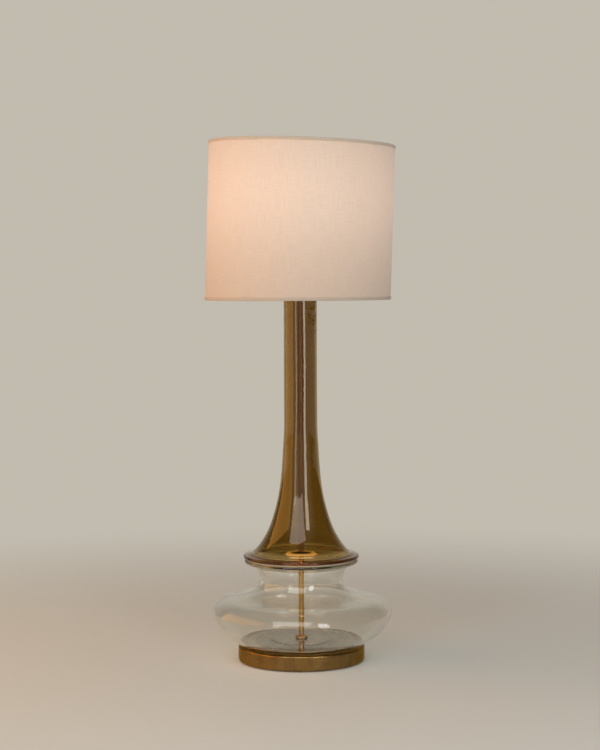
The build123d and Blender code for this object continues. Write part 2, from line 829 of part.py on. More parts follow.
pieces = {
    "felt_pad": felt_pad(),
    "base_cover": base_cover(),
    "base_weight": base_weight(),
    "inlet_bush": inlet_bush(),
    "base_washer": base_washer(),
    "base_lock_washer": base_lock_washer(),
    "base_nut": base_nut(),
    "centre_tube": centre_tube(),
    "bowl_pad": bowl_pad(),
    "glass_bowl": glass_bowl(),
    "bowl_inner_washer": bowl_inner_washer(),
    "bowl_ring_nut": bowl_ring_nut(),
    "rim_gasket": rim_gasket(),
    "trumpet_glass": trumpet_glass(),
    "foot_bush": foot_bush(),
    "cap_gasket": cap_gasket(),
    "neck_cap": neck_cap(),
    "top_nut": top_nut(),
    "holder_cup": holder_cup(),
    "holder_grub_screw": holder_grub_screw(),
    "holder_insert": holder_insert(),
    "terminal_screws": terminal_screws(),
    "centre_contact": centre_contact(),
    "side_contact": side_contact(),
    "holder_skirt": holder_skirt(),
    "seat_ring": seat_ring(),
    "clamp_ring": clamp_ring(),
    "bulb_contact": bulb_contact(),
    "bulb_insulator": bulb_insulator(),
    "bulb_cap": bulb_cap(),
    "bulb_globe": bulb_globe(),
    "bulb_stem": bulb_stem(),
    "bulb_filaments": bulb_filaments(),
    "shade_carrier": shade_carrier(),
    "shade_panel": shade_panel(),
    "bottom_trim": bottom_trim(),
    "top_ring": top_frame() * edge_wire(),
    "top_trim": top_frame() * edge_trim(),
}

os.makedirs("parts", exist_ok=True)
for name, shape in pieces.items():
    export_step(shape, f"parts/{name}.step")
    print(f"{name:20s} {shape.volume:12.1f} mm3")
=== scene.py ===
# %% [markdown]
# # A tall glass table lamp
# A brown glass trumpet stands mouth down on a clear glass bowl, the bowl stands on a brass
# disc, and a linen drum shade sits on top. The sizes come from the CAD model, which loads
# first as a fixed frame. Each cell below makes one piece or one finish. Outlines are in
# millimetres, everything else is in metres, +Z is up and -Y is the front.

# %% Load the frame
import math

import bmesh
import bpy
import numpy as np
from mathutils import Matrix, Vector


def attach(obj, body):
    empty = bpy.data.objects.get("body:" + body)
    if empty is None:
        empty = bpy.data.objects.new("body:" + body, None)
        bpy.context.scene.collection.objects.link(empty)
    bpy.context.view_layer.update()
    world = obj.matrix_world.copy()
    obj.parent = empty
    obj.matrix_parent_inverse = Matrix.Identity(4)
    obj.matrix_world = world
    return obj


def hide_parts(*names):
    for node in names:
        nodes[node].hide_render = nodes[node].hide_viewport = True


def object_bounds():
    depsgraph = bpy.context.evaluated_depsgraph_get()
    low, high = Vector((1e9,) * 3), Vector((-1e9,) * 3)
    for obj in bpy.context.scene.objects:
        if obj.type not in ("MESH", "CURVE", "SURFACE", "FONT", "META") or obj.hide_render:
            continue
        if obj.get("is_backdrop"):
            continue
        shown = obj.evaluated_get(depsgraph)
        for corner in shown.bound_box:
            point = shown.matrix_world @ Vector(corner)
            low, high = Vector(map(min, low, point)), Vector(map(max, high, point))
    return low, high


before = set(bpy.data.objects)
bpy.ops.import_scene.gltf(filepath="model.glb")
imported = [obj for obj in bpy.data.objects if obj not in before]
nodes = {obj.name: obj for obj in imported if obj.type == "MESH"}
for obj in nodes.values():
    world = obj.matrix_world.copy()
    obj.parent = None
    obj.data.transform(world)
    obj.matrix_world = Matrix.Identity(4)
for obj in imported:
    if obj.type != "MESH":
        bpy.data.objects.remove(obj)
cad_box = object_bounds()
mm = 0.001
print(len(nodes), "CAD nodes in a box of", [round(size, 3) for size in cad_box[1] - cad_box[0]])

# %% [markdown]
# ## Camera
# The ellipses of the base and of the shade give the camera: three and a half metres away, at
# the height of the upper neck, tipped down by three degrees. A lens of 88 mm on a 36 mm high
# frame gives the same perspective. A small roll puts the stem at the lean it has in the picture.

# %% Camera
frame_height_px = 750
focal_px = 1832.0
film_mm = 36.0
camera_place = (-0.9 * mm, -3.460, 0.726)
pitch_down = math.radians(3.03)
roll = math.radians(0.23)

camera_data = bpy.data.cameras.new("camera")
camera_data.sensor_fit = "AUTO"
camera_data.sensor_width = film_mm
camera_data.lens = focal_px * film_mm / frame_height_px
camera = bpy.data.objects.new("camera", camera_data)
bpy.context.scene.collection.objects.link(camera)
tip = Matrix.Rotation(math.pi / 2 - pitch_down, 4, "X") @ Matrix.Rotation(-roll, 4, "Z")
camera.matrix_world = Matrix.Translation(camera_place) @ tip
bpy.context.scene.camera = camera
bpy.context.scene.view_settings.view_transform = "Standard"
print("lens", round(camera_data.lens, 1), "mm")

# %% [markdown]
# ## Node trees in a few words
# A material is a graph of nodes. One helper adds a node and sets its values, and another feeds
# a socket, so the cells that follow read as a list of what a finish is made of.

# %% Helpers: a node and what feeds its sockets
def add(tree, kind, values=None, **settings):
    """A new node of a kind, with socket values by name or number and settings by name."""
    node = tree.nodes.new(kind)
    for key, value in settings.items():
        setattr(node, key, value)
    for key, value in (values or {}).items():
        node.inputs[key].default_value = value
    return node


def join(source, socket):
    """Feed an input socket: a link from an output socket, or else a number or a colour."""
    if isinstance(source, bpy.types.NodeSocket):
        socket.id_data.links.new(source, socket)
    elif isinstance(source, (int, float)):
        socket.default_value = source
    else:
        socket.default_value = (*source, 1.0)


def feed(node, **sources):
    """Feed several inputs of a node by name."""
    for label, source in sources.items():
        join(source, node.inputs[label.replace("_", " ")])


# %% Helpers: arithmetic and mixing
def tree_of(terms):
    """The node tree that a list's output sockets are in."""
    return next(term.id_data for term in terms if isinstance(term, bpy.types.NodeSocket))


def maths(operation, *terms):
    """A Math node; each term is a number or an output socket. Returns its output."""
    node = add(tree_of(terms), "ShaderNodeMath", operation=operation)
    for socket, term in zip(node.inputs, terms):
        join(term, socket)
    return node.outputs[0]


def between(value, low, high, to_low=0.0, to_high=1.0, **settings):
    """A Map Range node with clamping: value from low to high becomes to_low to to_high."""
    node = add(value.id_data, "ShaderNodeMapRange", **settings)
    for socket, term in zip(node.inputs, (value, low, high, to_low, to_high)):
        join(term, socket)
    return node.outputs[0]


def blend(mask, first, second, kind="MIX"):
    """A Mix node for colours: first where the mask is zero, and second where it is one."""
    terms = (mask, first, second)
    node = add(tree_of(terms), "ShaderNodeMix", data_type="RGBA", blend_type=kind)
    for number, term in zip((0, 6, 7), terms):
        join(term, node.inputs[number])
    return node.outputs[2]


def mix_shaders(mask, first, second):
    """A Mix Shader node between two shader nodes, joined to the material's surface."""
    tree = first.id_data
    mix = add(tree, "ShaderNodeMixShader")
    for socket, source in zip(mix.inputs, (mask, first.outputs[0], second.outputs[0])):
        join(source, socket)
    feed(tree.nodes["Material Output"], Surface=mix.outputs[0])


# %% Places and noise
def object_place(tree):
    """Object coordinates, in metres, the same as the frame's."""
    return add(tree, "ShaderNodeTexCoord").outputs["Object"]


def axes(vector):
    """The x, y and z of a vector, as three output sockets."""
    node = add(vector.id_data, "ShaderNodeSeparateXYZ")
    join(vector, node.inputs[0])
    return node.outputs


def from_axis(x, y):
    """The distance from the Z axis: the root of x squared plus y squared."""
    squares = maths("ADD", maths("MULTIPLY", x, x), maths("MULTIPLY", y, y))
    return maths("SQRT", squares)


def noise(vector, scale, detail, roughness, **settings):
    """A Noise Texture at a place; its scale is a number or an output socket."""
    node = add(vector.id_data, "ShaderNodeTexNoise", **settings)
    feed(node, Vector=vector, Scale=scale, Detail=detail, Roughness=roughness)
    return node.outputs[0]


# %% Groups, materials and bumps
def new_group(name, numbers, results):
    """An empty group that takes a place and named numbers and puts out named results."""
    group = bpy.data.node_groups.new(name, "ShaderNodeTree")
    group.interface.new_socket("Vector", in_out="INPUT", socket_type="NodeSocketVector")
    for label, default in numbers.items():
        socket = group.interface.new_socket(label, in_out="INPUT", socket_type="NodeSocketFloat")
        socket.default_value = default
    for label in results:
        group.interface.new_socket(label, in_out="OUTPUT", socket_type="NodeSocketFloat")
    return group, add(group, "NodeGroupInput").outputs, add(group, "NodeGroupOutput").inputs


def place_group(tree, group, vector, **values):
    """A group placed in a material, with its own values. Returns its outputs."""
    node = add(tree, "ShaderNodeGroup", values, node_tree=group)
    feed(node, Vector=vector)
    return node.outputs


def finish(name, color, roughness, metallic=0.0, **sockets):
    """A material with one Principled shader. Returns the material, its tree and the shader."""
    material = bpy.data.materials.new(name)
    material.use_nodes = True
    shader = material.node_tree.nodes["Principled BSDF"]
    plain = {"Base_Color": (*color, 1.0), "Roughness": roughness, "Metallic": metallic}
    for label, value in (plain | sockets).items():
        shader.inputs[label.replace("_", " ")].default_value = value
    return material, material.node_tree, shader


def bump(height, depth, shader, strength=1.0):
    """A Bump node between a height socket and the shader's normal; depth is in metres."""
    node = add(shader.id_data, "ShaderNodeBump")
    feed(node, Height=height, Strength=strength, Distance=depth)
    feed(shader, Normal=node.outputs["Normal"])


# %% [markdown]
# ## Effects that several finishes share
# Real surfaces are never even. Four small groups make the unevenness: soft patches, fine grain,
# the marks that a lathe tool or an abrasive pad leaves round the axis, and woven thread. A
# group only puts out masks and heights, so every material decides by itself what they do.

# %% Group: soft patches
patches, p_in, p_out = new_group("soft patches", {"Size": 0.02, "Contrast": 0.2}, ["Mask"])
cloud = noise(p_in["Vector"], maths("DIVIDE", 1.0, p_in["Size"]), 4.0, 0.55)
low = maths("SUBTRACT", 0.5, p_in["Contrast"])
high = maths("ADD", 0.5, p_in["Contrast"])
join(between(cloud, low, high, interpolation_type="SMOOTHSTEP"), p_out["Mask"])
print(patches.name, len(patches.nodes), "nodes")


def patchy(tree, size, contrast):
    """The patches at object coordinates, as a mask."""
    return place_group(tree, patches, object_place(tree), Size=size, Contrast=contrast)["Mask"]


# %% Group: fine grain
grain, g_in, g_out = new_group("fine grain", {"Size": 0.001}, ["Height"])
speckle = noise(g_in["Vector"], maths("DIVIDE", 1.0, g_in["Size"]), 3.0, 0.6)
join(speckle, g_out["Height"])
print(grain.name, len(grain.nodes), "nodes")


def grainy(tree, size):
    """The grain at object coordinates, as a height."""
    return place_group(tree, grain, object_place(tree), Size=size)["Height"]


# %% Group: marks that run round the axis
# The noise is read at (radius, height, a little of the angle), so it hardly changes along a
# circle round Z and changes fast across it: concentric rings on a face, hoops on a side.
lathe, l_in, l_out = new_group("lathe marks", {"Pitch": 0.0004, "Length": 2.0}, ["Height"])
x, y, z = axes(l_in["Vector"])
angle = maths("ARCTAN2", y, x)
turned_place = add(lathe, "ShaderNodeCombineXYZ")
join(maths("DIVIDE", from_axis(x, y), l_in["Pitch"]), turned_place.inputs[0])
join(maths("DIVIDE", z, l_in["Pitch"]), turned_place.inputs[1])
join(maths("MULTIPLY", angle, l_in["Length"]), turned_place.inputs[2])
join(noise(turned_place.outputs[0], 1.0, 2.0, 0.5), l_out["Height"])
print(lathe.name, len(lathe.nodes), "nodes")

# %% Group: plain weave with slubs
# On a UV map in metres, each thread is one half wave of a sine. Warp threads lie on top where
# the sum of the two thread numbers is even, weft threads where it is odd. A slub is a thick
# stretch of one thread: noise that is stretched fifty times along the thread.
weave, w_in, w_out = new_group("linen weave", {"Pitch": 0.0006}, ["Height", "Thick", "Streaks"])
scaled = add(weave, "ShaderNodeVectorMath", operation="DIVIDE")
join(w_in["Vector"], scaled.inputs[0])
join(w_in["Pitch"], scaled.inputs[1])
across_warp, across_weft, _ = axes(scaled.outputs[0])


def slubs(stretch_u, stretch_v):
    """Noise stretched along u or v, about one value for each thread across."""
    mapping = add(weave, "ShaderNodeMapping", {"Scale": (1 / stretch_u, 1 / stretch_v, 1.0)})
    join(scaled.outputs[0], mapping.inputs["Vector"])
    return noise(mapping.outputs[0], 0.9, 2.0, 0.6, noise_dimensions="2D")


def hump(place):
    """The round back of each thread: the size of sin(pi times the place across)."""
    return maths("ABSOLUTE", maths("SINE", maths("MULTIPLY", place, math.pi)))


# %% Weave: which thread is on top, and how thick it is
weft_slub, warp_slub = slubs(45.0, 1.3), slubs(1.3, 60.0)
number = maths("ADD", maths("FLOOR", across_warp), maths("FLOOR", across_weft))
odd = maths("PINGPONG", number, 1.0)
warp_share = maths("MULTIPLY_ADD", odd, -0.55, 1.0)
weft_share = maths("MULTIPLY_ADD", odd, 0.55, 0.45)
warp_height = maths("MULTIPLY", hump(across_warp), warp_share)
weft_height = maths("MULTIPLY", hump(across_weft), weft_share)
cloth = maths("MAXIMUM", warp_height, weft_height)
half_weft, half_warp = (maths("MULTIPLY", slub, 0.5) for slub in (weft_slub, warp_slub))
thickness = maths("ADD", half_weft, half_warp)
raised = between(thickness, 0.3, 0.7, 0.6, 1.0)
join(maths("MULTIPLY", cloth, raised), w_out["Height"])
join(maths("MULTIPLY", cloth, between(thickness, 0.2, 0.8)), w_out["Thick"])
join(between(maths("MAXIMUM", weft_slub, warp_slub), 0.42, 0.72), w_out["Streaks"])
print(weave.name, len(weave.nodes), "nodes")

# %% [markdown]
# ## Surfaces from formulas
# Every new piece but the cord inlet is a grid of points: an outline carried round the axis, or
# a circle carried along a path. The grid is worked out as whole arrays, and one helper turns it
# into a mesh with quads between neighbours, so no loop ever visits a single vertex.

# %% Helper: a grid of points becomes a mesh
merge_distance, sliver_length = 1e-7, 1e-8


def grid_piece(name, grid, wrap_rows=False, wrap_columns=True, uv=None, sharp_degrees=None):
    """Quads between neighbouring points of a (rows, columns, 3) grid in metres.

    Corner (i, j) joins (i, j+1), (i+1, j+1) and (i+1, j). The winding is turned round when
    the signed volume, the sum of a . (b x c) / 6 over all triangles, is negative.
    """
    rows, columns = grid.shape[:2]
    steps = np.arange(rows - (not wrap_rows)), np.arange(columns - (not wrap_columns))
    i, j = np.meshgrid(*steps, indexing="ij")
    corners = np.stack([(i, j), (i, j + 1), (i + 1, j + 1), (i + 1, j)], axis=-1)
    place = (corners[0] % rows) * columns + corners[1] % columns
    faces = place.reshape(-1, 4)
    points = grid.reshape(-1, 3)
    a, b, c, d = (points[faces[:, k]] for k in range(4))
    volume = (np.cross(a, b) * c).sum() + (np.cross(a, c) * d).sum()
    order = slice(None, None, -1) if volume < 0 else slice(None)
    mesh = bpy.data.meshes.new(name)
    mesh.from_pydata(points.tolist(), [], faces[:, order].tolist())
    if uv is not None:
        at_corners = uv[corners[0], corners[1]].reshape(-1, 4, 2)[:, order]
        mesh.uv_layers.new(name="UVMap").data.foreach_set("uv", at_corners.ravel())
    merged = bmesh.new()
    merged.from_mesh(mesh)
    bmesh.ops.remove_doubles(merged, verts=merged.verts, dist=merge_distance)
    bmesh.ops.dissolve_degenerate(merged, edges=merged.edges, dist=sliver_length)
    merged.to_mesh(mesh)
    merged.free()
    mesh.shade_smooth()
    if sharp_degrees is not None:
        mesh.set_sharp_from_angle(angle=math.radians(sharp_degrees))
    piece = bpy.data.objects.new(name, mesh)
    bpy.context.scene.collection.objects.link(piece)
    return piece


def dress(piece, body, material, *replaced, slot=None):
    """The piece rides on a body, takes a finish and stands for CAD nodes.

    The slot name, which is only printed, is the finish's own name without the number that Blender adds
    to a taken one.
    """
    slot = slot or material.name.split(".")[0]
    piece.data.materials.clear()
    piece.data.materials.append(material)
    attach(piece, body)
    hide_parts(*replaced)
    print(f"{piece.name}: {len(piece.data.polygons)} faces, {slot}")
    return piece


# %% Helper: outlines with rounded corners
def rounded(corners, steps=6):
    """A closed outline from rows of (radius, height, rounding), in millimetres.

    Each corner becomes an arc about the point that is the rounding's radius from both
    sides. One more point just outside each arc keeps the flats beside it flat in shading.
    """
    corners = np.array(corners, float)
    p, r = corners[:, :2], np.maximum(corners[:, 2:], 1e-3)
    back, ahead = np.roll(p, 1, 0) - p, np.roll(p, -1, 0) - p
    back /= np.linalg.norm(back, axis=1, keepdims=True)
    ahead /= np.linalg.norm(ahead, axis=1, keepdims=True)
    half = np.arccos(np.clip((back * ahead).sum(1, keepdims=True), -1, 1)) / 2
    middle = back + ahead
    length = np.linalg.norm(middle, axis=1, keepdims=True)
    middle = np.where(length > 1e-6, middle / np.maximum(length, 1e-6), 0)
    centre = p + middle * r / np.sin(half)
    first, last = p + back * r / np.tan(half), p + ahead * r / np.tan(half)
    start = np.arctan2(*(first - centre).T[::-1])
    sweep = np.arctan2(*(last - centre).T[::-1]) - start
    sweep = (sweep + np.pi) % (2 * np.pi) - np.pi
    turn = start[:, None] + sweep[:, None] * np.linspace(0, 1, steps)
    arcs = centre[:, None] + r[:, None] * np.stack([np.cos(turn), np.sin(turn)], -1)
    outside = [first + back * 0.4 * r, last + ahead * 0.4 * r]
    return np.concatenate([outside[0][:, None], arcs, outside[1][:, None]], 1).reshape(-1, 2)


# %% Helper: smooth curves, arcs and straight sides
def smooth_curve(points, start=None, end=None, count=96):
    """Cubic pieces through points whose slopes and bends agree, with chord length as parameter.

    The slopes solve a tridiagonal set of equations; a given end direction fixes its slope,
    and a free end has no bend.
    """
    p = np.array(points, float)
    h = np.linalg.norm(np.diff(p, axis=0), axis=1)
    n = len(p)
    rows = np.zeros((n, n))
    right = np.zeros((n, 2))
    k = np.arange(1, n - 1)
    rows[k, k - 1], rows[k, k], rows[k, k + 1] = h[1:], 2 * (h[:-1] + h[1:]), h[:-1]
    chord = np.diff(p, axis=0) / h[:, None]
    right[1:-1] = 3 * (h[1:, None] * chord[:-1] + h[:-1, None] * chord[1:])
    for place, step, direction in ((0, 1, start), (n - 1, -1, end)):
        if direction is None:
            rows[place, place], rows[place, place + step] = 2, 1
            right[place] = 3 * chord[0 if place == 0 else -1]
        else:
            rows[place, place] = 1
            right[place] = np.array(direction, float) / np.linalg.norm(direction)
    slope = np.linalg.solve(rows, right)
    t = np.concatenate([[0], np.cumsum(h)])
    at = np.linspace(0, t[-1], count)
    k = np.clip(np.searchsorted(t, at, side="right") - 1, 0, n - 2)
    s = ((at - t[k]) / h[k])[:, None]
    step = h[k][:, None]
    return (
        (2 * s**3 - 3 * s**2 + 1) * p[k] + (s**3 - 2 * s**2 + s) * step * slope[k]
        + (3 * s**2 - 2 * s**3) * p[k + 1] + (s**3 - s**2) * step * slope[k + 1]
    )


def arc(centre, radius, first_degrees, last_degrees, count=12):
    """Points of a circle from one angle to another, counted from the outward direction."""
    turn = np.radians(np.linspace(first_degrees, last_degrees, count))[:, None]
    return np.array(centre) + radius * np.hstack([np.cos(turn), np.sin(turn)])


def upright(radius, low, high, count):
    """Points of one radius at evenly spaced heights."""
    return np.stack([np.full(count, radius), np.linspace(low, high, count)], 1)


# %% Helper: an outline carried round the axis
def turned(name, outline, segments=192, shape=None, closed=True, **options):
    """A surface of revolution from an outline of (radius, height) in millimetres.

    Point (s, a) is (r(s) cos a, r(s) sin a, z(s)); shape may change r as a function of
    radius, height and angle, for threads, knurls and the unevenness of blown glass.
    """
    around = np.linspace(0, 2 * np.pi, segments, endpoint=False)[None]
    r, z = outline[:, :1] + 0 * around, outline[:, 1:] + 0 * around
    if shape is not None:
        r = shape(r, z, around)
    grid = np.stack([r * np.cos(around), r * np.sin(around), z], -1) * mm
    return grid_piece(name, grid, wrap_rows=closed, **options)


def ring(name, body, material, node, corners, steps=5, segments=192, shape=None, sharp=None):
    """A ring turned from an outline with rounded corners; it stands for one CAD node."""
    piece = turned(name, rounded(corners, steps), segments, shape, sharp_degrees=sharp)
    return dress(piece, body, material, node)


def helix(pitch, depth, low, high, beyond, fade):
    """A thread: r shrinks by depth times a rounded saw of z / pitch - angle / one turn.

    It acts only on points further out than beyond, and fades in and out at its ends.
    """
    def shape(r, z, angle):
        wave = 0.5 + 0.5 * np.cos(2 * np.pi * z / pitch - angle)
        window = np.clip((z - low) / fade, 0, 1) * np.clip((high - z) / fade, 0, 1)
        return np.where(r > beyond, r - depth * wave * window, r)
    return shape


# %% [markdown]
# ## The stack
# From the table up, each piece rests on the one below it. Where two pieces meet, both take the
# height from this one list.

# %% Heights where pieces meet, in millimetres
base_foot, base_top, bowl_foot = 1.0, 30.0, 31.0
disc_top, washer_top, bowl_nut_top = 37.4, 38.6, 41.6
bowl_rim_top, trumpet_foot, trumpet_top, neck_seal_top = 193.5, 195.5, 768.0, 769.5
cap_top, stack_nut_top, cup_floor, cup_top = 773.5, 778.5, 787.5, 803.5
seat_foot, seat_top, clamp_foot, clamp_top = 805.5, 809.5, 811.7, 816.7
cone_foot, shell_foot, globe_foot = 807.2, 810.4, 832.4
print("stack from", base_foot, "to", globe_foot, "mm")

# %% [markdown]
# ## Glass
# The trumpet is blown from smoky brown glass. Its colour sits in the whole wall, so light that
# crosses more glass comes out darker, which draws the dark edges of the neck. The tint is split
# between the shader's colour and absorption inside the wall. A see-through shader takes over
# for two kinds of ray: shadow rays, so that the glass throws a light brown shadow and not a
# black one, and rays that the wall has mirrored three times, which would stay trapped in it and
# end black. The clear glass is made the same way, with a little colour in the depth of its wall.

# %% Finish: clear and brown glass
glass_ior = 1.50
trapped_after = 2.5


def glass(name, color, shadow_color, waviness, depth_color=None, density=0.0):
    """Glass with slow ripples, a see-through shadow, and colour in the depth of its wall."""
    material, tree, shader = finish(name, color, 0.0, IOR=glass_ior, Transmission_Weight=1.0)
    bump(patchy(tree, 0.05, 0.5), waviness, shader, strength=0.6)
    feed(shader, Roughness=between(patchy(tree, 0.03, 0.12), 0.0, 1.0, 0.0, 0.03))
    see_through = add(tree, "ShaderNodeBsdfTransparent")
    feed(see_through, Color=shadow_color)
    rays = add(tree, "ShaderNodeLightPath").outputs
    trapped = maths("GREATER_THAN", rays["Glossy Depth"], trapped_after)
    mix_shaders(maths("MAXIMUM", rays["Is Shadow Ray"], trapped), shader, see_through)
    if depth_color:
        wall = add(tree, "ShaderNodeVolumeAbsorption")
        feed(wall, Color=depth_color, Density=density)
        feed(tree.nodes["Material Output"], Volume=wall.outputs[0])
    return material, tree, shader


# %% Clear glass, and brown glass that is lighter at its foot
# The brown of the shader counts at every surface that light crosses. At the foot it crosses the
# flare, the floor and the rim, so the brown is paler below the kink: painted light that makes up
# for the extra crossings. The melted bead round the hole gathers the bulb's light, more than few
# samples can follow, so its paler tint and a small glow of its own are a painted highlight.
neck_brown, foot_brown, bead_highlight_tint = (0.43, 0.31, 0.08), (0.98, 0.91, 0.70), (1.0, 0.97, 0.88)
bead_glow_color = (0.50, 0.34, 0.17)
kink_heights, bead_heights, bead_radii = (0.2075, 0.2145), (0.2065, 0.2085), (0.029, 0.031)
brown_glass, brown_tree, brown_shader = glass(
    "brown_glass", neck_brown, (0.86, 0.74, 0.48), 0.0006, (0.70, 0.52, 0.20), 60.0
)
x, y, z = axes(object_place(brown_tree))
above_kink = between(z, *kink_heights)
at_bead = between(from_axis(x, y), *bead_radii, 1.0, 0.0)
low_down = between(z, *bead_heights, 1.0, 0.0)
foot_tint = blend(at_bead, foot_brown, bead_highlight_tint)
brown_tint = blend(above_kink, foot_tint, neck_brown)
# The bead's glow and its paler tint are a painted highlight.
bead_highlight_mask = maths("MULTIPLY", at_bead, low_down)
bead_glow = blend(bead_highlight_mask, (0.0, 0.0, 0.0), bead_glow_color)
feed(brown_shader, Base_Color=brown_tint, Emission_Color=bead_glow, Emission_Strength=1.0)
clear_glass, _, _ = glass(
    "clear_glass", (0.975, 0.98, 0.965), (0.93, 0.93, 0.91), 0.0005, (0.78, 0.74, 0.62), 30.0
)
print("glass:", brown_glass.name, clear_glass.name)

# %% [markdown]
# ## The trumpet
# Its outline is one closed line: up the flare and the straight neck on the outside, back down
# on the inside to the glass floor, and round the melted bead at the hole in that floor. Blown
# glass is never quite round, so two slow waves of up to a quarter of a millimetre run round
# it, and fade out where it meets the bowl's gasket and the cap.

# %% Trumpet outline
neck_radius, neck_start, trumpet_wall = 31.6, 254.5, 3.0
flare_stations = [
    (33.7, 210.5), (37.0, 162.5), (43.0, 119.5), (51.8, 84.5), (65.0, 49.5), (78.5, 27.5),
]
kink, step_station = (88.0, 16.0), (96.0, 9.4)
kink_above, kink_below = (0.722, -0.692), (0.849, -0.528)
rim_radius, rim_round = 110.0, 3.5


def lifted(stations, foot):
    """Stations of (radius, height above a foot) as an array above the table."""
    return np.array(stations, float) + (0, foot)


def alongside(curve, distance):
    """A curve moved sideways: its points plus distance times the normal on its right."""
    along = np.gradient(curve, axis=0)
    along /= np.linalg.norm(along, axis=1, keepdims=True)
    return curve + distance * np.stack([along[:, 1], -along[:, 0]], 1)


flare_line = lifted([(neck_radius, neck_start), *flare_stations, kink], trumpet_foot)
flare = smooth_curve(flare_line, (0, -1), kink_above, 110)
inner_flare = alongside(flare, trumpet_wall)
step_line = lifted([kink, step_station, (rim_radius - rim_round, 2 * rim_round)], trumpet_foot)
step = smooth_curve(step_line, kink_below, (1, 0), 16)
rim = arc((rim_radius - rim_round, trumpet_foot + rim_round), rim_round, 90, -90, 14)
print("trumpet outline:", len(flare) + len(step) + len(rim), "outer points, kink at", kink)

# %% Trumpet floor and neck
bead_circle, bead_round = 24.1, 4.6
floor_at_hole, floor_at_edge, floor_corner = 4.2, 4.6, 1.5
hollow_radius, bore_radius, lip_round = 96.0, neck_radius - trumpet_wall, 0.5
bead = arc((bead_circle, trumpet_foot + bead_round), bead_round, 270, 14, 26)
slope = (floor_at_edge - floor_at_hole) / hollow_radius
floor_start = bead[-1, 0] + 2.2
floor_end = (floor_start, trumpet_foot + floor_at_hole + slope * floor_start)
corner = (hollow_radius, trumpet_foot + floor_at_edge, floor_corner)
corner_line = rounded([(*inner_flare[-1], 0), corner, (*floor_end, 0)], 8)[10:20]
floor_line = np.linspace(corner_line[-1], floor_end, 12)
neck_span = (trumpet_top - 0.8, trumpet_foot + neck_start + 4, 40)
lip = [
    (bore_radius, trumpet_top - lip_round), (bore_radius + lip_round, trumpet_top),
    (neck_radius - lip_round, trumpet_top), (neck_radius, trumpet_top - lip_round),
]
trumpet_outline = np.vstack([
    upright(neck_radius, *neck_span), flare, step[1:], rim[1:], bead, floor_line[::-1],
    corner_line[-2::-1], inner_flare[::-1], upright(bore_radius, *neck_span)[::-1], lip,
])
print("floor slope", round(slope, 4), "points", len(trumpet_outline))


# %% Trumpet
def uneven(low, high, size, turn=0.0):
    """Blown glass: r plus size times two slow waves round it, faded out at both ends."""
    def shape(r, z, angle):
        fade = np.clip((z - low) / 15, 0, 1) * np.clip((high - z) / 15, 0, 1)
        waves = np.sin(2 * angle + turn + z / 60) + 0.6 * np.sin(3 * angle - z / 35 + 2 * turn)
        return r + size * fade * waves
    return shape


trumpet_waves = uneven(trumpet_foot + 8, trumpet_top, 0.16, 0.8)
trumpet = turned("brown_trumpet", trumpet_outline, 256, trumpet_waves)
dress(trumpet, "lamp", brown_glass, "trumpet_glass")

# %% [markdown]
# ## The bowl
# Clear glass, blown in one piece: a flat foot, a wide low belly, a narrow neck, and a rim that
# turns out to meet the trumpet. The inner side runs four millimetres inside the outer curve,
# and a thicker disc in the floor takes the pull of the tube.

# %% Bowl outline
bowl_wall, foot_radius, disc_radius, bowl_hole = 4.0, 104.0, 58.0, 6.0
bowl_rim_radius, bowl_rim_round = 104.5, 3.5
bowl_stations = [
    (foot_radius, 0.0), (140.5, 16.5), (163.5, 38.5), (171.5, 62.0), (153.5, 84.5),
    (106.0, 94.5), (83.5, 111.0), (79.5, 128.0), (bowl_rim_radius, 155.5),
]
bowl_outer = smooth_curve(lifted(bowl_stations, bowl_foot), (1, 0), (1, 0), 170)
bowl_rim = arc((bowl_rim_radius, bowl_rim_top - bowl_rim_round), bowl_rim_round, -90, 90, 14)
inner_points = alongside(bowl_outer, -bowl_wall)[: int(0.93 * len(bowl_outer))][::-1]
rim_inside = smooth_curve(np.vstack([bowl_rim[-1:], inner_points[:6:2]]), (-1, 0), None, 12)[:-1]
floor_points = rounded([
    (foot_radius, bowl_foot + bowl_wall, 0), (60.8, 36.0, 1.0), (disc_radius, disc_top, 1.0),
    (bowl_hole, disc_top, 0.4), (bowl_hole, bowl_foot, 0.4), (foot_radius, bowl_foot, 0),
], 5)[7:-7]
bowl_outline = np.vstack([bowl_outer, bowl_rim[1:], rim_inside[1:], inner_points[5:], floor_points])
print("bowl outline:", len(bowl_outline), "points")

# %% Bowl
bowl_waves = uneven(bowl_foot + 6, bowl_foot + 150, 0.2, 2.1)
bowl = turned("clear_bowl", bowl_outline, 256, bowl_waves)
dress(bowl, "lamp", clear_glass, "glass_bowl")

# %% [markdown]
# ## Brass
# The base is spun brass, rubbed with an abrasive pad while it turns, and browned with age. The
# marks run round it, so the gloss is drawn out across them. Handling leaves duller and darker
# patches. A specular tint keeps the gloss brown at a flat angle too, where plain metal would
# mirror the pale room as white. The tube is the same metal, drawn and not yet brown.

# %% Finish: brass
tarnish_share, speck_share, mark_share, tarnish_dulls = 0.55, 0.18, 0.35, 0.14
brass_gloss = {"Specular_Tint": (0.80, 0.60, 0.34, 1.0), "Coat_Weight": 0.1, "Coat_Roughness": 0.12}


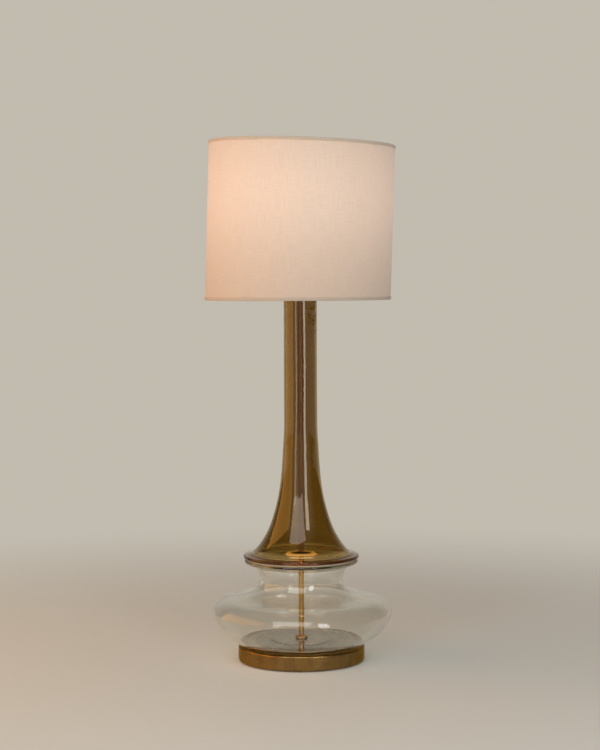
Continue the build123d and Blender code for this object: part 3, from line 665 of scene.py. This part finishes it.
def brass(name, color, worn_color, roughness, mark_depth, mark_pitch):
    """Turned brass: marks round the axis, and patches of tarnish that are duller and darker."""
    material, tree, shader = finish(name, color, roughness, 1.0, **brass_gloss)
    marks = place_group(tree, lathe, object_place(tree), Pitch=mark_pitch, Length=2.0)["Height"]
    tarnish = patchy(tree, 0.022, 0.18)
    specks = patchy(tree, 0.003, 0.06)
    aged = maths("MULTIPLY_ADD", tarnish, tarnish_share, maths("MULTIPLY", specks, speck_share))
    streaked = blend(between(marks, 0.3, 0.7, 0.0, mark_share), color, worn_color)
    marked = between(marks, 0.25, 0.75, roughness - 0.05, roughness + 0.05)
    dull = maths("MULTIPLY_ADD", aged, tarnish_dulls, marked)
    feed(shader, Base_Color=blend(aged, streaked, worn_color), Roughness=dull)
    bump(marks, mark_depth, shader)
    return material


satin_brass = brass("satin_brass", (0.31, 0.19, 0.06), (0.15, 0.085, 0.03), 0.20, 0.00009, 0.00035)
tube_brass = brass("tube_brass", (0.62, 0.38, 0.11), (0.38, 0.22, 0.07), 0.15, 0.00003, 0.00025)
contact_brass = brass("contact_brass", (0.74, 0.55, 0.27), (0.55, 0.38, 0.18), 0.25, 0.00001, 0.0003)
print("brass:", satin_brass.name, tube_brass.name, contact_brass.name)

# %% Base cover
# The outline goes out along the top, over the rolled edge, down the side, under the foot and
# back up inside. A cylinder then cuts the hole that the cord inlet sits in.
base_radius, sheet = 120.0, 1.6
inlet_radius, inlet_place = 5.2 * mm, (0, 0.119, 0.011)
cover_outline = rounded([
    (6.0, base_top, 0.3), (base_radius, base_top, 3.0), (base_radius, base_foot, 4.0),
    (113.0, base_foot, 0.5), (113.0, base_foot + sheet, 0.5),
    (base_radius - sheet, base_foot + sheet, 2.4), (base_radius - sheet, base_top - sheet, 1.4),
    (6.0, base_top - sheet, 0.3),
], 8)
cover = turned("brass_cover", cover_outline, 288, sharp_degrees=40)
bpy.ops.mesh.primitive_cylinder_add(
    vertices=64, radius=inlet_radius, depth=20 * mm, location=inlet_place,
    rotation=(math.pi / 2, 0, 0),
)
cutter = bpy.context.object
hole = cover.modifiers.new("inlet hole", "BOOLEAN")
hole.operation, hole.solver, hole.object = "DIFFERENCE", "EXACT", cutter
bpy.context.view_layer.update()
with_hole = cover.evaluated_get(bpy.context.evaluated_depsgraph_get())
cut_mesh = bpy.data.meshes.new_from_object(with_hole)
cover.modifiers.clear()
cover.data = cut_mesh
bpy.data.objects.remove(cutter)
dress(cover, "lamp", satin_brass, "base_cover")

# %% [markdown]
# ## The tube and its nuts
# The tube has fine thread at both ends and is plain between them. A thread is a helix, so the
# radius at a point depends on its height less its angle round the axis: one formula on the
# whole grid cuts it. The nuts' knurls are the same idea with the angle alone.

# %% Centre tube
tube_low, tube_high, tube_radius, tube_bore = 14.0, 787.5, 5.0, 4.0
thread_low, thread_high = 52.0, 760.0
chamfer, inner_chamfer = 0.5, (0.1, 0.2)
thread_size = {"pitch": 1.0, "depth": 0.45, "beyond": 4.6, "fade": 1.0}
low_thread = helix(low=tube_low, high=thread_low - 1, **thread_size)
high_thread = helix(low=thread_high + 1, high=tube_high, **thread_size)


def both_threads(r, z, angle):
    """The thread at the foot of the tube, then the one at its top."""
    return high_thread(low_thread(r, z, angle), z, angle)


inner_edge = tube_bore + inner_chamfer[0]
tube_outline = np.vstack([
    upright(tube_radius, tube_low + chamfer, thread_low, 300),
    upright(tube_radius, thread_low + 8, thread_high - 8, 40),
    upright(tube_radius, thread_high, tube_high - chamfer, 220),
    [(tube_radius - chamfer, tube_high), (inner_edge, tube_high)],
    [(tube_bore, tube_high - inner_chamfer[1]), (tube_bore, tube_low + inner_chamfer[1])],
    [(inner_edge, tube_low), (tube_radius - chamfer, tube_low)],
])
tube = turned("centre_rod", tube_outline, 48, both_threads, sharp_degrees=50)
dress(tube, "lamp", tube_brass, "centre_tube")


# %% Ring nut, top nut and neck cap
def knurled(count, depth, beyond):
    """Knurls: r shrinks by depth times a rounded wave with count crests round the piece."""
    def shape(r, z, angle):
        return np.where(r > beyond, r - depth * (0.5 - 0.5 * np.cos(count * angle)) ** 2, r)
    return shape


nut_bore, nut_radius = 5.06, 11.0
ring("bowl_nut", "lamp", tube_brass, "bowl_ring_nut", [
    (nut_bore, washer_top, 0.2), (nut_radius, washer_top, 0.3),
    (nut_radius, bowl_nut_top, 0.7), (nut_bore, bowl_nut_top, 0.3),
], 6, 240, knurled(60, 0.25, 10.8), 60)
ring("stack_nut", "lamp", tube_brass, "top_nut", [
    (nut_bore, cap_top, 0.2), (nut_radius, cap_top, 0.4),
    (nut_radius, stack_nut_top, 0.6), (nut_bore, stack_nut_top, 0.3),
], 6, 240, knurled(48, 0.3, 10.7), 60)
ring("neck_cap_brass", "lamp", satin_brass, "neck_cap", [
    (6.0, neck_seal_top, 0.3), (32.2, neck_seal_top, 0.4), (32.2, 757.5, 0.3),
    (34.0, 757.5, 0.5), (34.0, cap_top, 1.5), (6.0, cap_top, 0.3),
], 7, 192, None, 50)

# %% [markdown]
# ## Rubber, silicone and plastic
# Soft seals keep the glass off the metal. The seal between the two glasses and the pad under
# the bowl are translucent silicone, hardly seen. The bush in the trumpet's floor is black
# rubber, and the lampholder, its rings and the cord inlet are moulded black plastic.

# %% Finish: moulded parts
def grained(name, color, worn_color, roughness, grain_size, grain_depth, wear=(0.012, 0.5),
            dulled=(-0.06, 0.1), **sockets):
    """Fine grain, and soft patches of dust or wear that change the colour and are duller.

    wear is the size and the share of the patches; dulled is what they add to the roughness.
    """
    material, tree, shader = finish(name, color, roughness, **sockets)
    worn = patchy(tree, wear[0], 0.2)
    patched = blend(maths("MULTIPLY", worn, wear[1]), color, worn_color)
    dull = between(worn, 0.0, 1.0, *(roughness + change for change in dulled))
    feed(shader, Base_Color=patched, Roughness=dull)
    bump(grainy(tree, grain_size), grain_depth, shader)
    return material


black, dusty_black = (0.022, 0.021, 0.020), (0.045, 0.043, 0.040)
rubber_black, dusty_rubber = (0.020, 0.018, 0.016), (0.05, 0.045, 0.04)
silicone, dusty_silicone = (0.80, 0.79, 0.74), (0.70, 0.68, 0.62)
white, dusty_white = (0.80, 0.79, 0.76), (0.70, 0.68, 0.63)
black_plastic = grained("black_plastic", black, dusty_black, 0.42, 0.0005, 0.00003)
dark_rubber = grained("dark_rubber", rubber_black, dusty_rubber, 0.62, 0.0004, 0.00003)
clear_silicone = grained(
    "clear_silicone", silicone, dusty_silicone, 0.38, 0.0006, 0.00002, Transmission_Weight=0.6, IOR=1.41
)
porcelain = grained("porcelain", (0.82, 0.80, 0.75), (0.70, 0.67, 0.60), 0.35, 0.0008, 0.00003)
white_wire = grained("white_wire", white, dusty_white, 0.36, 0.0009, 0.00004, Coat_Weight=0.2)
print("moulded finishes made")

# %% Seals, washer and pad
seals = {
    ("foot_seal", "foot_bush", dark_rubber): [
        (5.2, 197.85, 0.2), (19.3, 197.85, 0.4), (19.3, 202.35, 0.4),
        (8.5, 202.35, 0.5), (8.5, 205.35, 0.6), (5.2, 205.35, 0.3),
    ],
    ("nut_washer", "bowl_inner_washer", dark_rubber): [
        (5.2, disc_top, 0.1), (11.8, disc_top, 0.2),
        (11.8, washer_top, 0.3), (5.2, washer_top, 0.1),
    ],
    ("glass_seal", "rim_gasket", clear_silicone): [
        (100.0, bowl_rim_top, 0.3), (105.5, bowl_rim_top, 0.6),
        (105.5, trumpet_foot, 0.6), (100.0, trumpet_foot, 0.3),
    ],
    ("bowl_cushion_ring", "bowl_pad", clear_silicone): [
        (88.0, base_top, 0.2), (102.0, base_top, 0.3),
        (102.0, bowl_foot, 0.3), (88.0, bowl_foot, 0.2),
    ],
    ("neck_seal", "cap_gasket", dark_rubber): [
        (26.6, trumpet_top, 0.2), (neck_radius, trumpet_top, 0.3),
        (neck_radius, neck_seal_top, 0.3), (26.6, neck_seal_top, 0.2),
    ],
}
for (name, node, material), corners in seals.items():
    ring(name, "lamp", material, node, corners)

# %% Cord inlet: the CAD node's shape with smooth shading
# A merged copy of the node's mesh gets soft shading across small angles, and its flats stay flat.
inlet = bpy.data.objects.new("cord_inlet", nodes["inlet_bush"].data.copy())
bpy.context.scene.collection.objects.link(inlet)
merged = bmesh.new()
merged.from_mesh(inlet.data)
bmesh.ops.remove_doubles(merged, verts=merged.verts, dist=1e-6)
merged.to_mesh(inlet.data)
merged.free()
inlet.data.shade_smooth()
inlet.data.set_sharp_from_angle(angle=math.radians(32))
inlet.modifiers.new("flat faces", "WEIGHTED_NORMAL").keep_sharp = True
dress(inlet, "lamp", black_plastic, "inlet_bush")

# %% [markdown]
# ## The lampholder
# A cup screwed on the tube and a skirt screwed into the cup. The skirt is threaded outside for
# the two rings that grip the shade. Only its outside shows, from above and from below.

# %% Lampholder cup and skirt
cup_radius = 21.5
ring("holder_cup_shell", "lamp", black_plastic, "holder_cup", [
    (nut_bore, stack_nut_top, 0.2), (9.5, stack_nut_top, 0.5), (9.5, 785.5, 1.5),
    (cup_radius, 785.5, 5.0), (cup_radius, cup_top, 0.4), (19.5, cup_top, 0.3),
    (19.5, cup_floor, 1.0), (nut_bore, cup_floor, 0.2),
], 8, 160, None, 50)

skirt_outline = np.vstack([
    upright(19.8, 805.7, 828.2, 190),
    [(19.5, 828.5), (13.9, 828.5), (13.6, 828.2), (13.6, 798.8), (13.9, 798.5), (18.8, 798.5)],
    [(19.1, 798.8), (19.1, 803.4), (19.1, cup_top), (21.2, cup_top), (cup_radius, 803.8)],
    [(cup_radius, 805.2), (21.2, seat_foot), (19.9, seat_foot)],
])
skirt_thread = helix(2.5, 0.8, 806.0, 828.0, 19.4, 1.0)
skirt = turned("holder_skirt_shell", skirt_outline, 128, skirt_thread, sharp_degrees=45)
dress(skirt, "lamp", black_plastic, "holder_skirt")


# %% The two rings that grip the shade
def grooved(count, depth, beyond):
    """Finger grooves: r shrinks by depth near each of count evenly spaced angles."""
    def shape(r, z, angle):
        groove = np.clip(1 - np.abs(np.mod(angle * count / np.pi + 1, 2) - 1) * 2.4, 0, 1)
        return np.where(r > beyond, r - depth * np.sin(groove * np.pi / 2) ** 2, r)
    return shape


ring_bore = 19.86
ring("shade_seat_ring", "lamp", black_plastic, "seat_ring", [
    (ring_bore, seat_foot, 0.2), (27.0, seat_foot, 0.5),
    (27.0, seat_top, 0.5), (ring_bore, seat_top, 0.2),
], 5, 384, grooved(24, 1.1, 26.4), 50)
ring("shade_clamp_ring", "clamp_ring", black_plastic, "clamp_ring", [
    (ring_bore, clamp_foot, 0.2), (26.0, clamp_foot, 0.5),
    (26.0, clamp_top, 0.8), (ring_bore, clamp_top, 0.4),
], 5, 384, grooved(24, 1.1, 25.2), 50)

# %% [markdown]
# ## The bulb
# A sixty-millimetre opal globe on a nickel-plated screw shell. The shell's round thread is the
# same helix formula with a longer pitch and a softer wave. The globe gives the shade its light,
# so its glow is real light in this scene and not only a colour.

# %% Finishes: nickel, solder, steel, iron
plain_metal = {"metallic": 1.0, "wear": (0.006, 1.0), "dulled": (0.0, 0.15)}
metals = {
    "nickel": ((0.72, 0.69, 0.63), (0.60, 0.56, 0.50), 0.18, 0.0007, 0.00001),
    "solder": ((0.62, 0.62, 0.61), (0.45, 0.45, 0.44), 0.38, 0.0009, 0.00006),
    "zinc_steel": ((0.62, 0.62, 0.60), (0.45, 0.44, 0.42), 0.32, 0.0005, 0.00002),
    "grey_iron": ((0.14, 0.135, 0.13), (0.09, 0.075, 0.065), 0.62, 0.0016, 0.00025),
}
nickel, solder, zinc_steel, grey_iron = (
    grained(name, *values, **plain_metal) for name, values in metals.items()
)
print("metals:", list(metals))

# %% Finishes: opal glass, stem, light strips, insulator
opal_strength = 11.0
opal_glass, opal_tree, opal_shader = finish(
    "opal_glass", (0.95, 0.90, 0.82), 0.28, Emission_Strength=opal_strength
)
opal_glow = blend(patchy(opal_tree, 0.03, 0.5), (1.0, 0.71, 0.42), (1.0, 0.76, 0.49))
feed(opal_shader, Emission_Color=opal_glow)
stem_glass, _, _ = glass("stem_glass", (0.93, 0.95, 0.93), (0.95, 0.95, 0.93), 0.0002)
light_strip = grained("light_strip", (0.95, 0.72, 0.30), (0.90, 0.60, 0.20), 0.5, 0.0004, 0.00002)
shiny_black, dusty_shiny = (0.015, 0.015, 0.016), (0.03, 0.03, 0.03)
black_insulator = grained("bulb_black_glass", shiny_black, dusty_shiny, 0.16, 0.001, 0.00001)
print("bulb finishes made")

# %% Bulb: shell, insulator and tip
shell_outline = np.vstack([
    upright(13.2, 810.8, 832.0, 150),
    [(12.9, globe_foot), (12.2, globe_foot), (12.0, 832.2), (12.0, 811.1), (11.8, 810.9), (9.2, 810.9)],
    [(9.2, shell_foot), (12.0, shell_foot), (12.7, 810.55)],
])
shell = turned("bulb_shell", shell_outline, 128, helix(3.6, 0.9, 811.5, 831.0, 12.8, 1.6))
dress(shell, "bulb", nickel, "bulb_cap")
cone = np.array([
    (0, shell_foot), (9.2, shell_foot), (9.45, 810.2), (8.9, 809.5), (6.0, 807.9),
    (4.8, cone_foot), (0, cone_foot),
])
insulator = turned("bulb_black_cone", cone, 96, closed=False)
dress(insulator, "bulb", black_insulator, "bulb_insulator", slot="black_plastic")
tip_edge = arc((4.1, 806.5), 0.7, 0, -80, 8)
tip_line = np.vstack([[(0, cone_foot), (4.7, cone_foot)], tip_edge, [(2.6, 805.82), (0, 805.8)]])
dress(turned("bulb_tip", tip_line, 64, closed=False), "bulb_foot", solder, "bulb_contact")

# %% Bulb: opal globe with an inner wall
globe_radius, globe_middle, globe_wall = 30.0, 883.8, 1.0


def globe_line(wall):
    """Half section of the globe from its neck to its top, inset by a wall."""
    stations = [(12.9 - wall, globe_foot), (18.6 - wall, 857.1), (globe_radius - wall, globe_middle)]
    neck_line = smooth_curve(stations, (0, 1), (0, 1), 40)
    return np.vstack([neck_line, arc((0, globe_middle), globe_radius - wall, 0, 90, 40)[1:]])


globe_outline = np.vstack([globe_line(0), globe_line(globe_wall)[::-1]])
dress(turned("bulb_globe_glass", globe_outline, 160), "bulb", opal_glass, "bulb_globe")

# %% [markdown]
# ## The shade's frame
# Three white wire arms run level from a flat ring and then down to the bottom wire. A wire is a
# circle carried along a path: at each point it lies across the direction of travel.

# %% Carrier ring, and the leaning drum's formula
ring("carrier_plate", "shade", white_wire, "shade_carrier", [
    (20.6, 809.8, 0.2), (30.5, 809.8, 0.6), (30.5, 811.4, 0.6), (20.6, 811.4, 0.2),
], 5, 160)

shade_radius, shade_low, shade_high, shade_lean = 175.0, 685.0, 978.3, 9.0
linen_wall, wire_gap, hoop_round, hoop_rise = 1.2, 0.15, 1.75, 2.6
top_tilt = math.radians(1.94)
wire_circle = shade_radius - linen_wall - wire_gap - hoop_round


def leaning(radius, angle, rise, share):
    """A point of the leaning drum at a radius, an angle and a share of the way up.

    The bottom frame is level and shifted left; the top frame is shifted right and turned
    about Y, so it dips to the right. rise is a height above the bottom frame or below the
    top one; share blends straight between the two.
    """
    zero = 0 * (radius + angle + rise + share)
    x, y = radius * np.cos(angle), radius * np.sin(angle) + zero
    low = np.stack([x - shade_lean / 2 + zero, y, shade_low + rise + zero], -1)
    sine, cosine = math.sin(top_tilt), math.cos(top_tilt)
    high_x = x * cosine - rise * sine + shade_lean / 2 + zero
    high = np.stack([high_x, y, shade_high - x * sine - rise * cosine + zero], -1)
    return low * (1 - share[..., None]) + high * share[..., None]


# %% Bottom wire
around = np.linspace(0, 2 * np.pi, 240, endpoint=False)[None]
wire_turn = np.linspace(0, 2 * np.pi, 16, endpoint=False)[:, None]
hoop_radii = wire_circle + hoop_round * np.cos(wire_turn)
hoop_rises = hoop_rise + hoop_round * np.sin(wire_turn)
hoop = leaning(hoop_radii, around, hoop_rises, 0 * around * wire_turn)
hoop_piece = grid_piece("carrier_hoop", hoop * mm, wrap_rows=True)
dress(hoop_piece, "shade", white_wire, "shade_carrier")


# %% The three arms
def wire(name, path, side, radius, sides=20):
    """A round wire: path(s) + radius (cos a N(s) + sin a side), closed by a point at each end."""
    along = np.gradient(path, axis=0)
    along /= np.linalg.norm(along, axis=1, keepdims=True)
    normal = np.cross(along, side)
    turn = np.linspace(0, 2 * np.pi, sides, endpoint=False)[None, :, None]
    swell = np.ones(len(path))
    swell[[0, -1]] = 0
    section = np.cos(turn) * normal[:, None] + np.sin(turn) * np.array(side)[None, None]
    return grid_piece(name, (path[:, None] + radius * swell[:, None, None] * section) * mm)


arm_start, arm_bend, arm_foot, arm_radius = (28.5, 810.6), (48.0, 810.6, 14.0), 687.6, 2.0
for number in range(3):
    azimuth = math.radians(90 + 120 * number)
    cosine, sine = math.cos(azimuth), math.sin(azimuth)
    end = np.array([wire_circle * cosine - shade_lean / 2, wire_circle * sine])
    reach = np.linalg.norm(end)
    out = end / reach
    arm_end = (reach, arm_foot)
    bend = rounded([(*arm_start, 0), arm_bend, (*arm_end, 0)], 14)[16:32]
    line = np.vstack([[arm_start, arm_start], bend, [arm_end, arm_end]])
    path = np.stack([line[:, 0] * out[0], line[:, 0] * out[1], line[:, 1]], 1)
    tips = np.array([[-out[0], -out[1], 0], [out[0] * 0.4, out[1] * 0.4, -0.6]])
    path[[0, -1]] += tips * 0.05
    arm = wire(f"carrier_arm_{number + 1}", path, (-out[1], out[0], 0), arm_radius)
    dress(arm, "shade", white_wire, "shade_carrier")

# %% [markdown]
# ## Linen
# The shade is natural linen, bonded to a stiff white sheet that is rolled into a drum and
# lapped at the back. Lit from inside, thick threads and slubs stay dark and thin ones glow. The
# glow on a spot of the wall follows the light that falls there: it goes with one over the cube
# of the distance from the bulb, when the wall stands upright, with a share of stray light added.

# %% Finish: linen
stray_light, slub_shade, gap_light = 0.24, 0.11, 0.08
slub_share, stain_share, weave_depth = 0.6, 0.15, 0.00025


def linen_finish(name, color, slub_color, glow, glow_strength, pitch):
    """Woven linen on the UV map in metres, lit through by the bulb."""
    material, tree, shader = finish(
        name, color, 0.86, Sheen_Weight=0.25, Sheen_Roughness=0.5, Emission_Strength=glow_strength
    )
    cloth = add(tree, "ShaderNodeUVMap", uv_map="UVMap").outputs[0]
    threads = place_group(tree, weave, cloth, Pitch=pitch)
    colored = blend(maths("MULTIPLY", threads["Streaks"], slub_share), color, slub_color)
    stains = maths("MULTIPLY", patchy(tree, 0.08, 0.3), stain_share)
    colored = blend(stains, colored, slub_color)
    bulb_middle = {1: (0.0, 0.0, globe_middle * mm)}
    from_bulb = add(tree, "ShaderNodeVectorMath", bulb_middle, operation="DISTANCE")
    join(object_place(tree), from_bulb.inputs[0])
    nearness = maths("DIVIDE", shade_radius * mm, from_bulb.outputs["Value"])
    near = maths("POWER", nearness, 3.0)
    light = maths("MULTIPLY_ADD", near, 1.0 - stray_light, stray_light)
    through = maths("MULTIPLY_ADD", threads["Streaks"], -slub_shade, 1.0)
    gaps = maths("MULTIPLY_ADD", threads["Thick"], -2 * gap_light, 1.0 + gap_light)
    lit = maths("MULTIPLY", maths("MULTIPLY", light, through), gaps)
    feed(shader, Base_Color=colored, Emission_Color=blend(1.0, glow, lit, "MULTIPLY"))
    bump(threads["Height"], weave_depth, shader, 0.8)
    return material


linen = linen_finish(
    "linen", (0.455, 0.37, 0.29), (0.385, 0.305, 0.235), (0.96, 0.70, 0.555), 0.475, 0.00055
)
linen_binding = linen_finish(
    "linen_binding", (0.50, 0.42, 0.34), (0.40, 0.33, 0.26), (1.0, 0.72, 0.54), 0.15, 0.0005
)
print("linen finishes made")

# %% Linen drum
rows_up, columns_round = 44, 321
seam_angle, seam_half, lap_rise, edge_inset = math.pi / 2, 0.034, 0.3, 0.7
going_up = np.linspace(0, 1, rows_up)
share = np.concatenate([going_up, going_up[::-1]])[:, None]
outer_side = np.repeat([1.0, 0.0], rows_up)[:, None]
wall_radius = np.repeat([shade_radius, shade_radius - linen_wall], rows_up)[:, None]
angles = np.linspace(0, 2 * np.pi, columns_round)[None]
lap = np.clip((seam_half - np.abs(angles - seam_angle)) / 0.004, 0, 1)
slack = 0.12 * np.sin(5 * angles + 1.0) * np.sin(np.pi * share) + 0.08 * np.sin(11 * angles)
radii = wall_radius + lap_rise * lap * outer_side + slack
drum_points = leaning(radii, angles, edge_inset + 0 * radii, share + 0 * angles)
height = drum_points[..., 2] / 1000
drum_uv = np.stack([angles * shade_radius * mm + 0 * height, height], -1)
drum_uv = np.vstack([drum_uv, drum_uv[:1]])
on_the_sheet = {"wrap_rows": True, "wrap_columns": False}
drum = grid_piece("linen_drum", drum_points * mm, **on_the_sheet, uv=drum_uv, sharp_degrees=40)
dress(drum, "shade", linen, "shade_panel")

# %% [markdown]
# ## Bindings
# A folded linen tape wraps each edge and its wire. Its section is a narrow channel, rounded
# where it rolls over, with a wavy hem that is never dead straight. The bottom tape is cut where
# the arms pass; the cuts are inside, out of sight, so the tape here simply runs over the wire.

# %% Binding tapes
tape_section = rounded([
    (176.0, 6.0, 0.3), (176.0, 0.0, 1.6), (169.45, 0.0, 1.6), (169.45, 6.0, 0.3),
    (170.15, 6.0, 0.2), (170.15, 0.7, 0.9), (175.3, 0.7, 0.9), (175.3, 6.0, 0.2),
], 6)
hem_starts = 4


def binding(name, node, share):
    """A channel of tape round one edge: its section carried round the leaning frame."""
    rise = tape_section[:, 1:]
    hem = 0.22 * np.sin(9 * angles + 2.0) + 0.12 * np.sin(23 * angles)
    rise = np.where(rise > hem_starts, rise + hem, rise + 0 * angles)
    radii = tape_section[:, :1] + 0.10 * np.sin(14 * angles)
    points = leaning(radii, angles, rise, np.full(rise.shape, share))
    steps = np.linalg.norm(np.diff(tape_section, axis=0), axis=1)
    run = np.concatenate([[0], np.cumsum(steps)])[:, None] * mm
    uv = np.stack([angles * shade_radius * mm + 0 * run, run + 0 * angles], -1)
    uv = np.vstack([uv, uv[:1]])
    tape = grid_piece(name, points * mm, **on_the_sheet, uv=uv, sharp_degrees=50)
    return dress(tape, "shade", linen_binding, node)


tapes = [binding("binding_bottom", "bottom_trim", 0.0), binding("binding_top", "top_trim", 1.0)]

# %% [markdown]
# ## Felt
# A disc of dark felt is glued to the iron, and it stands a millimetre proud of the brass. Felt
# is matted fibre: its edge is soft and its face is a fine fuzz.

# %% Felt disc
felt_green, rubbed_green = (0.045, 0.05, 0.042), (0.08, 0.085, 0.075)
felt, felt_tree, felt_shader = finish(
    "pressed_felt", felt_green, 0.95, Sheen_Weight=0.5, Sheen_Roughness=0.6
)
rubbed = maths("MULTIPLY", patchy(felt_tree, 0.02, 0.2), 0.5)
feed(felt_shader, Base_Color=blend(rubbed, felt_green, rubbed_green))
bump(grainy(felt_tree, 0.0012), 0.0004, felt_shader)

felt_radius, felt_top, edge_round = 0.1125, 2.8, 0.8
face = np.linspace(0, 111.5, 24)
felt_line = np.vstack([
    np.stack([face, np.zeros(24)], 1), arc((111.7, edge_round), edge_round, -80, 0, 6),
    arc((111.7, felt_top - edge_round), edge_round, 0, 80, 6),
    np.stack([face[::-1], np.full(24, felt_top)], 1),
])
felt_disc = turned("felt_disc", felt_line, 192, closed=False)
dress(felt_disc, "lamp", felt, "felt_pad", slot="green_felt")

# %% [markdown]
# ## Pieces that stay as the CAD model has them
# The weight, its washers and nut, the porcelain and its contacts are inside the base and the
# lampholder. Their shapes are right already, so each node only gets its finish.

# %% Finishes for the hidden nodes
hidden = {
    "base_weight": grey_iron, "base_washer": zinc_steel, "base_lock_washer": zinc_steel,
    "base_nut": zinc_steel, "holder_grub_screw": zinc_steel, "holder_insert": porcelain,
    "terminal_screws": contact_brass, "centre_contact": contact_brass,
    "side_contact": contact_brass, "bulb_stem": stem_glass, "bulb_filaments": light_strip,
    "top_ring": white_wire,
}
for node, material in hidden.items():
    nodes[node].data.materials.clear()
    nodes[node].data.materials.append(material)
print("hidden nodes with a finish:", len(hidden))

# %% [markdown]
# ## Floor, world and light
# A plain pale floor and a pale world that darkens towards the zenith, as in a studio with a
# dark ceiling: clear glass needs something darker to show its edges. What the glass and the
# brass mirror is a room: pale behind the lamp, nearly black at its sides, and tan in front.
# Four soft lights draw the long reflections: a warm wide one on the left, a white upright one
# on the right, a large one in front and above, and a faint strip in front on the left.

# %% Floor
# For the camera, for reflections and through glass, the floor is lifted a little, and it fades
# with distance into the colour of the horizon. Diffuse light never sees that part, so it puts
# no light on the lamp.
horizon = (0.54, 0.50, 0.43)
fade_start, fade_end, least_fade = 0.3, 2.0, 0.15
below_lamp = 0.0004
floor_material, floor_tree, floor_shader = finish("pale_floor", (0.76, 0.785, 0.75), 0.6)
mottle = patchy(floor_tree, 0.3, 0.4)
floor_color = blend(mottle, (0.755, 0.78, 0.745), (0.77, 0.795, 0.76))
feed(floor_shader, Base_Color=floor_color)


def seen(tree):
    """One for camera, glossy and transmission rays, else zero."""
    rays = add(tree, "ShaderNodeLightPath").outputs
    mirrored_or_through = maths("MAXIMUM", rays["Is Glossy Ray"], rays["Is Transmission Ray"])
    return maths("MAXIMUM", rays["Is Camera Ray"], mirrored_or_through)


distance = add(floor_tree, "ShaderNodeVectorMath", operation="LENGTH")
join(object_place(floor_tree), distance.inputs[0])
far = between(
    distance.outputs["Value"], fade_start, fade_end, least_fade, 1.0,
    interpolation_type="SMOOTHSTEP",
)
haze = add(floor_tree, "ShaderNodeEmission")
feed(haze, Color=horizon, Strength=1.0)
faded = maths("MULTIPLY", far, seen(floor_tree))
mix_shaders(faded, floor_shader, haze)
radii = np.array([0.0, 1.0, 3.0, 9.0, 60.0])[:, None]
spokes = np.linspace(0, 2 * np.pi, 96, endpoint=False)[None]
level = -below_lamp + 0 * radii * spokes
floor_grid = np.stack([radii * np.cos(spokes), radii * np.sin(spokes), level], -1)
floor = grid_piece("floor", floor_grid[::-1])
floor.data.materials.append(floor_material)
floor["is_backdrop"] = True
print("floor:", len(floor.data.polygons), "faces")

# %% World
world = bpy.data.worlds.new("studio")
bpy.context.scene.world = world
world.use_nodes = True
sky = world.node_tree
_, forward, up = axes(add(sky, "ShaderNodeTexCoord").outputs["Generated"])
sky_rays = add(sky, "ShaderNodeLightPath").outputs
dark_ceiling, ceiling_through_glass = (0.20, 0.19, 0.165), (0.40, 0.38, 0.34)
tan_front, dark_sides = (0.80, 0.66, 0.50), (0.07, 0.06, 0.048)
daylight_low, daylight_high = (0.27, 0.26, 0.245), (0.15, 0.145, 0.135)

through_glass = sky_rays["Is Transmission Ray"]
ceiling = blend(through_glass, dark_ceiling, ceiling_through_glass)
open_backdrop = blend(between(up, 0.25, 0.8), horizon, ceiling)
front_wall = blend(between(forward, -0.9, -0.35), tan_front, dark_sides)
room = blend(between(forward, 0.6, 1.0), front_wall, open_backdrop)
mirrored = maths("GREATER_THAN", sky_rays["Glossy Depth"], 0.5)
backdrop = blend(mirrored, open_backdrop, room)
daylight = blend(between(up, 0.0, 0.8), daylight_low, daylight_high)
feed(sky.nodes["Background"], Color=blend(seen(sky), daylight, backdrop))
print("world:", len(sky.nodes), "nodes")


# %% Studio lights
def soft_light(name, place, width, height, watts, color):
    """A rectangular light at a place, turned to face the middle of the lamp."""
    light = bpy.data.lights.new(name, "AREA")
    light.shape, light.size, light.size_y = "RECTANGLE", width, height
    light.energy, light.color = watts, color
    piece = bpy.data.objects.new(name, light)
    bpy.context.scene.collection.objects.link(piece)
    offset = np.array(place) - lamp_middle
    tilt = math.atan2(math.hypot(*offset[:2]), offset[2])
    piece.location = place
    piece.rotation_euler = (tilt, 0, math.atan2(offset[0], -offset[1]))
    piece.visible_camera = False
    return piece


lamp_middle = np.array((0.0, 0.0, 0.5))
soft_light("front_soft", (-0.7, -2.9, 2.4), 3.0, 2.6, 52.0, (1.0, 0.98, 0.95))
soft_light("front_strip", (-1.5, -2.5, 0.7), 0.5, 1.3, 4.0, (1.0, 0.92, 0.85))
warm = soft_light("left_warm", (-2.29, -0.2, 0.95), 3.2, 1.7, 39.0, (1.0, 0.44, 0.10))
warm.visible_transmission = False
soft_light("right_white", (1.22, -2.3, 1.0), 0.6, 1.9, 16.0, (0.97, 0.98, 1.0))
print("lights placed")

# %% Sizes and the end
visual_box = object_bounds()
for label, box in (("CAD", cad_box), ("visual", visual_box)):
    print(label, "box", [list(np.round(corner, 4)) for corner in box])
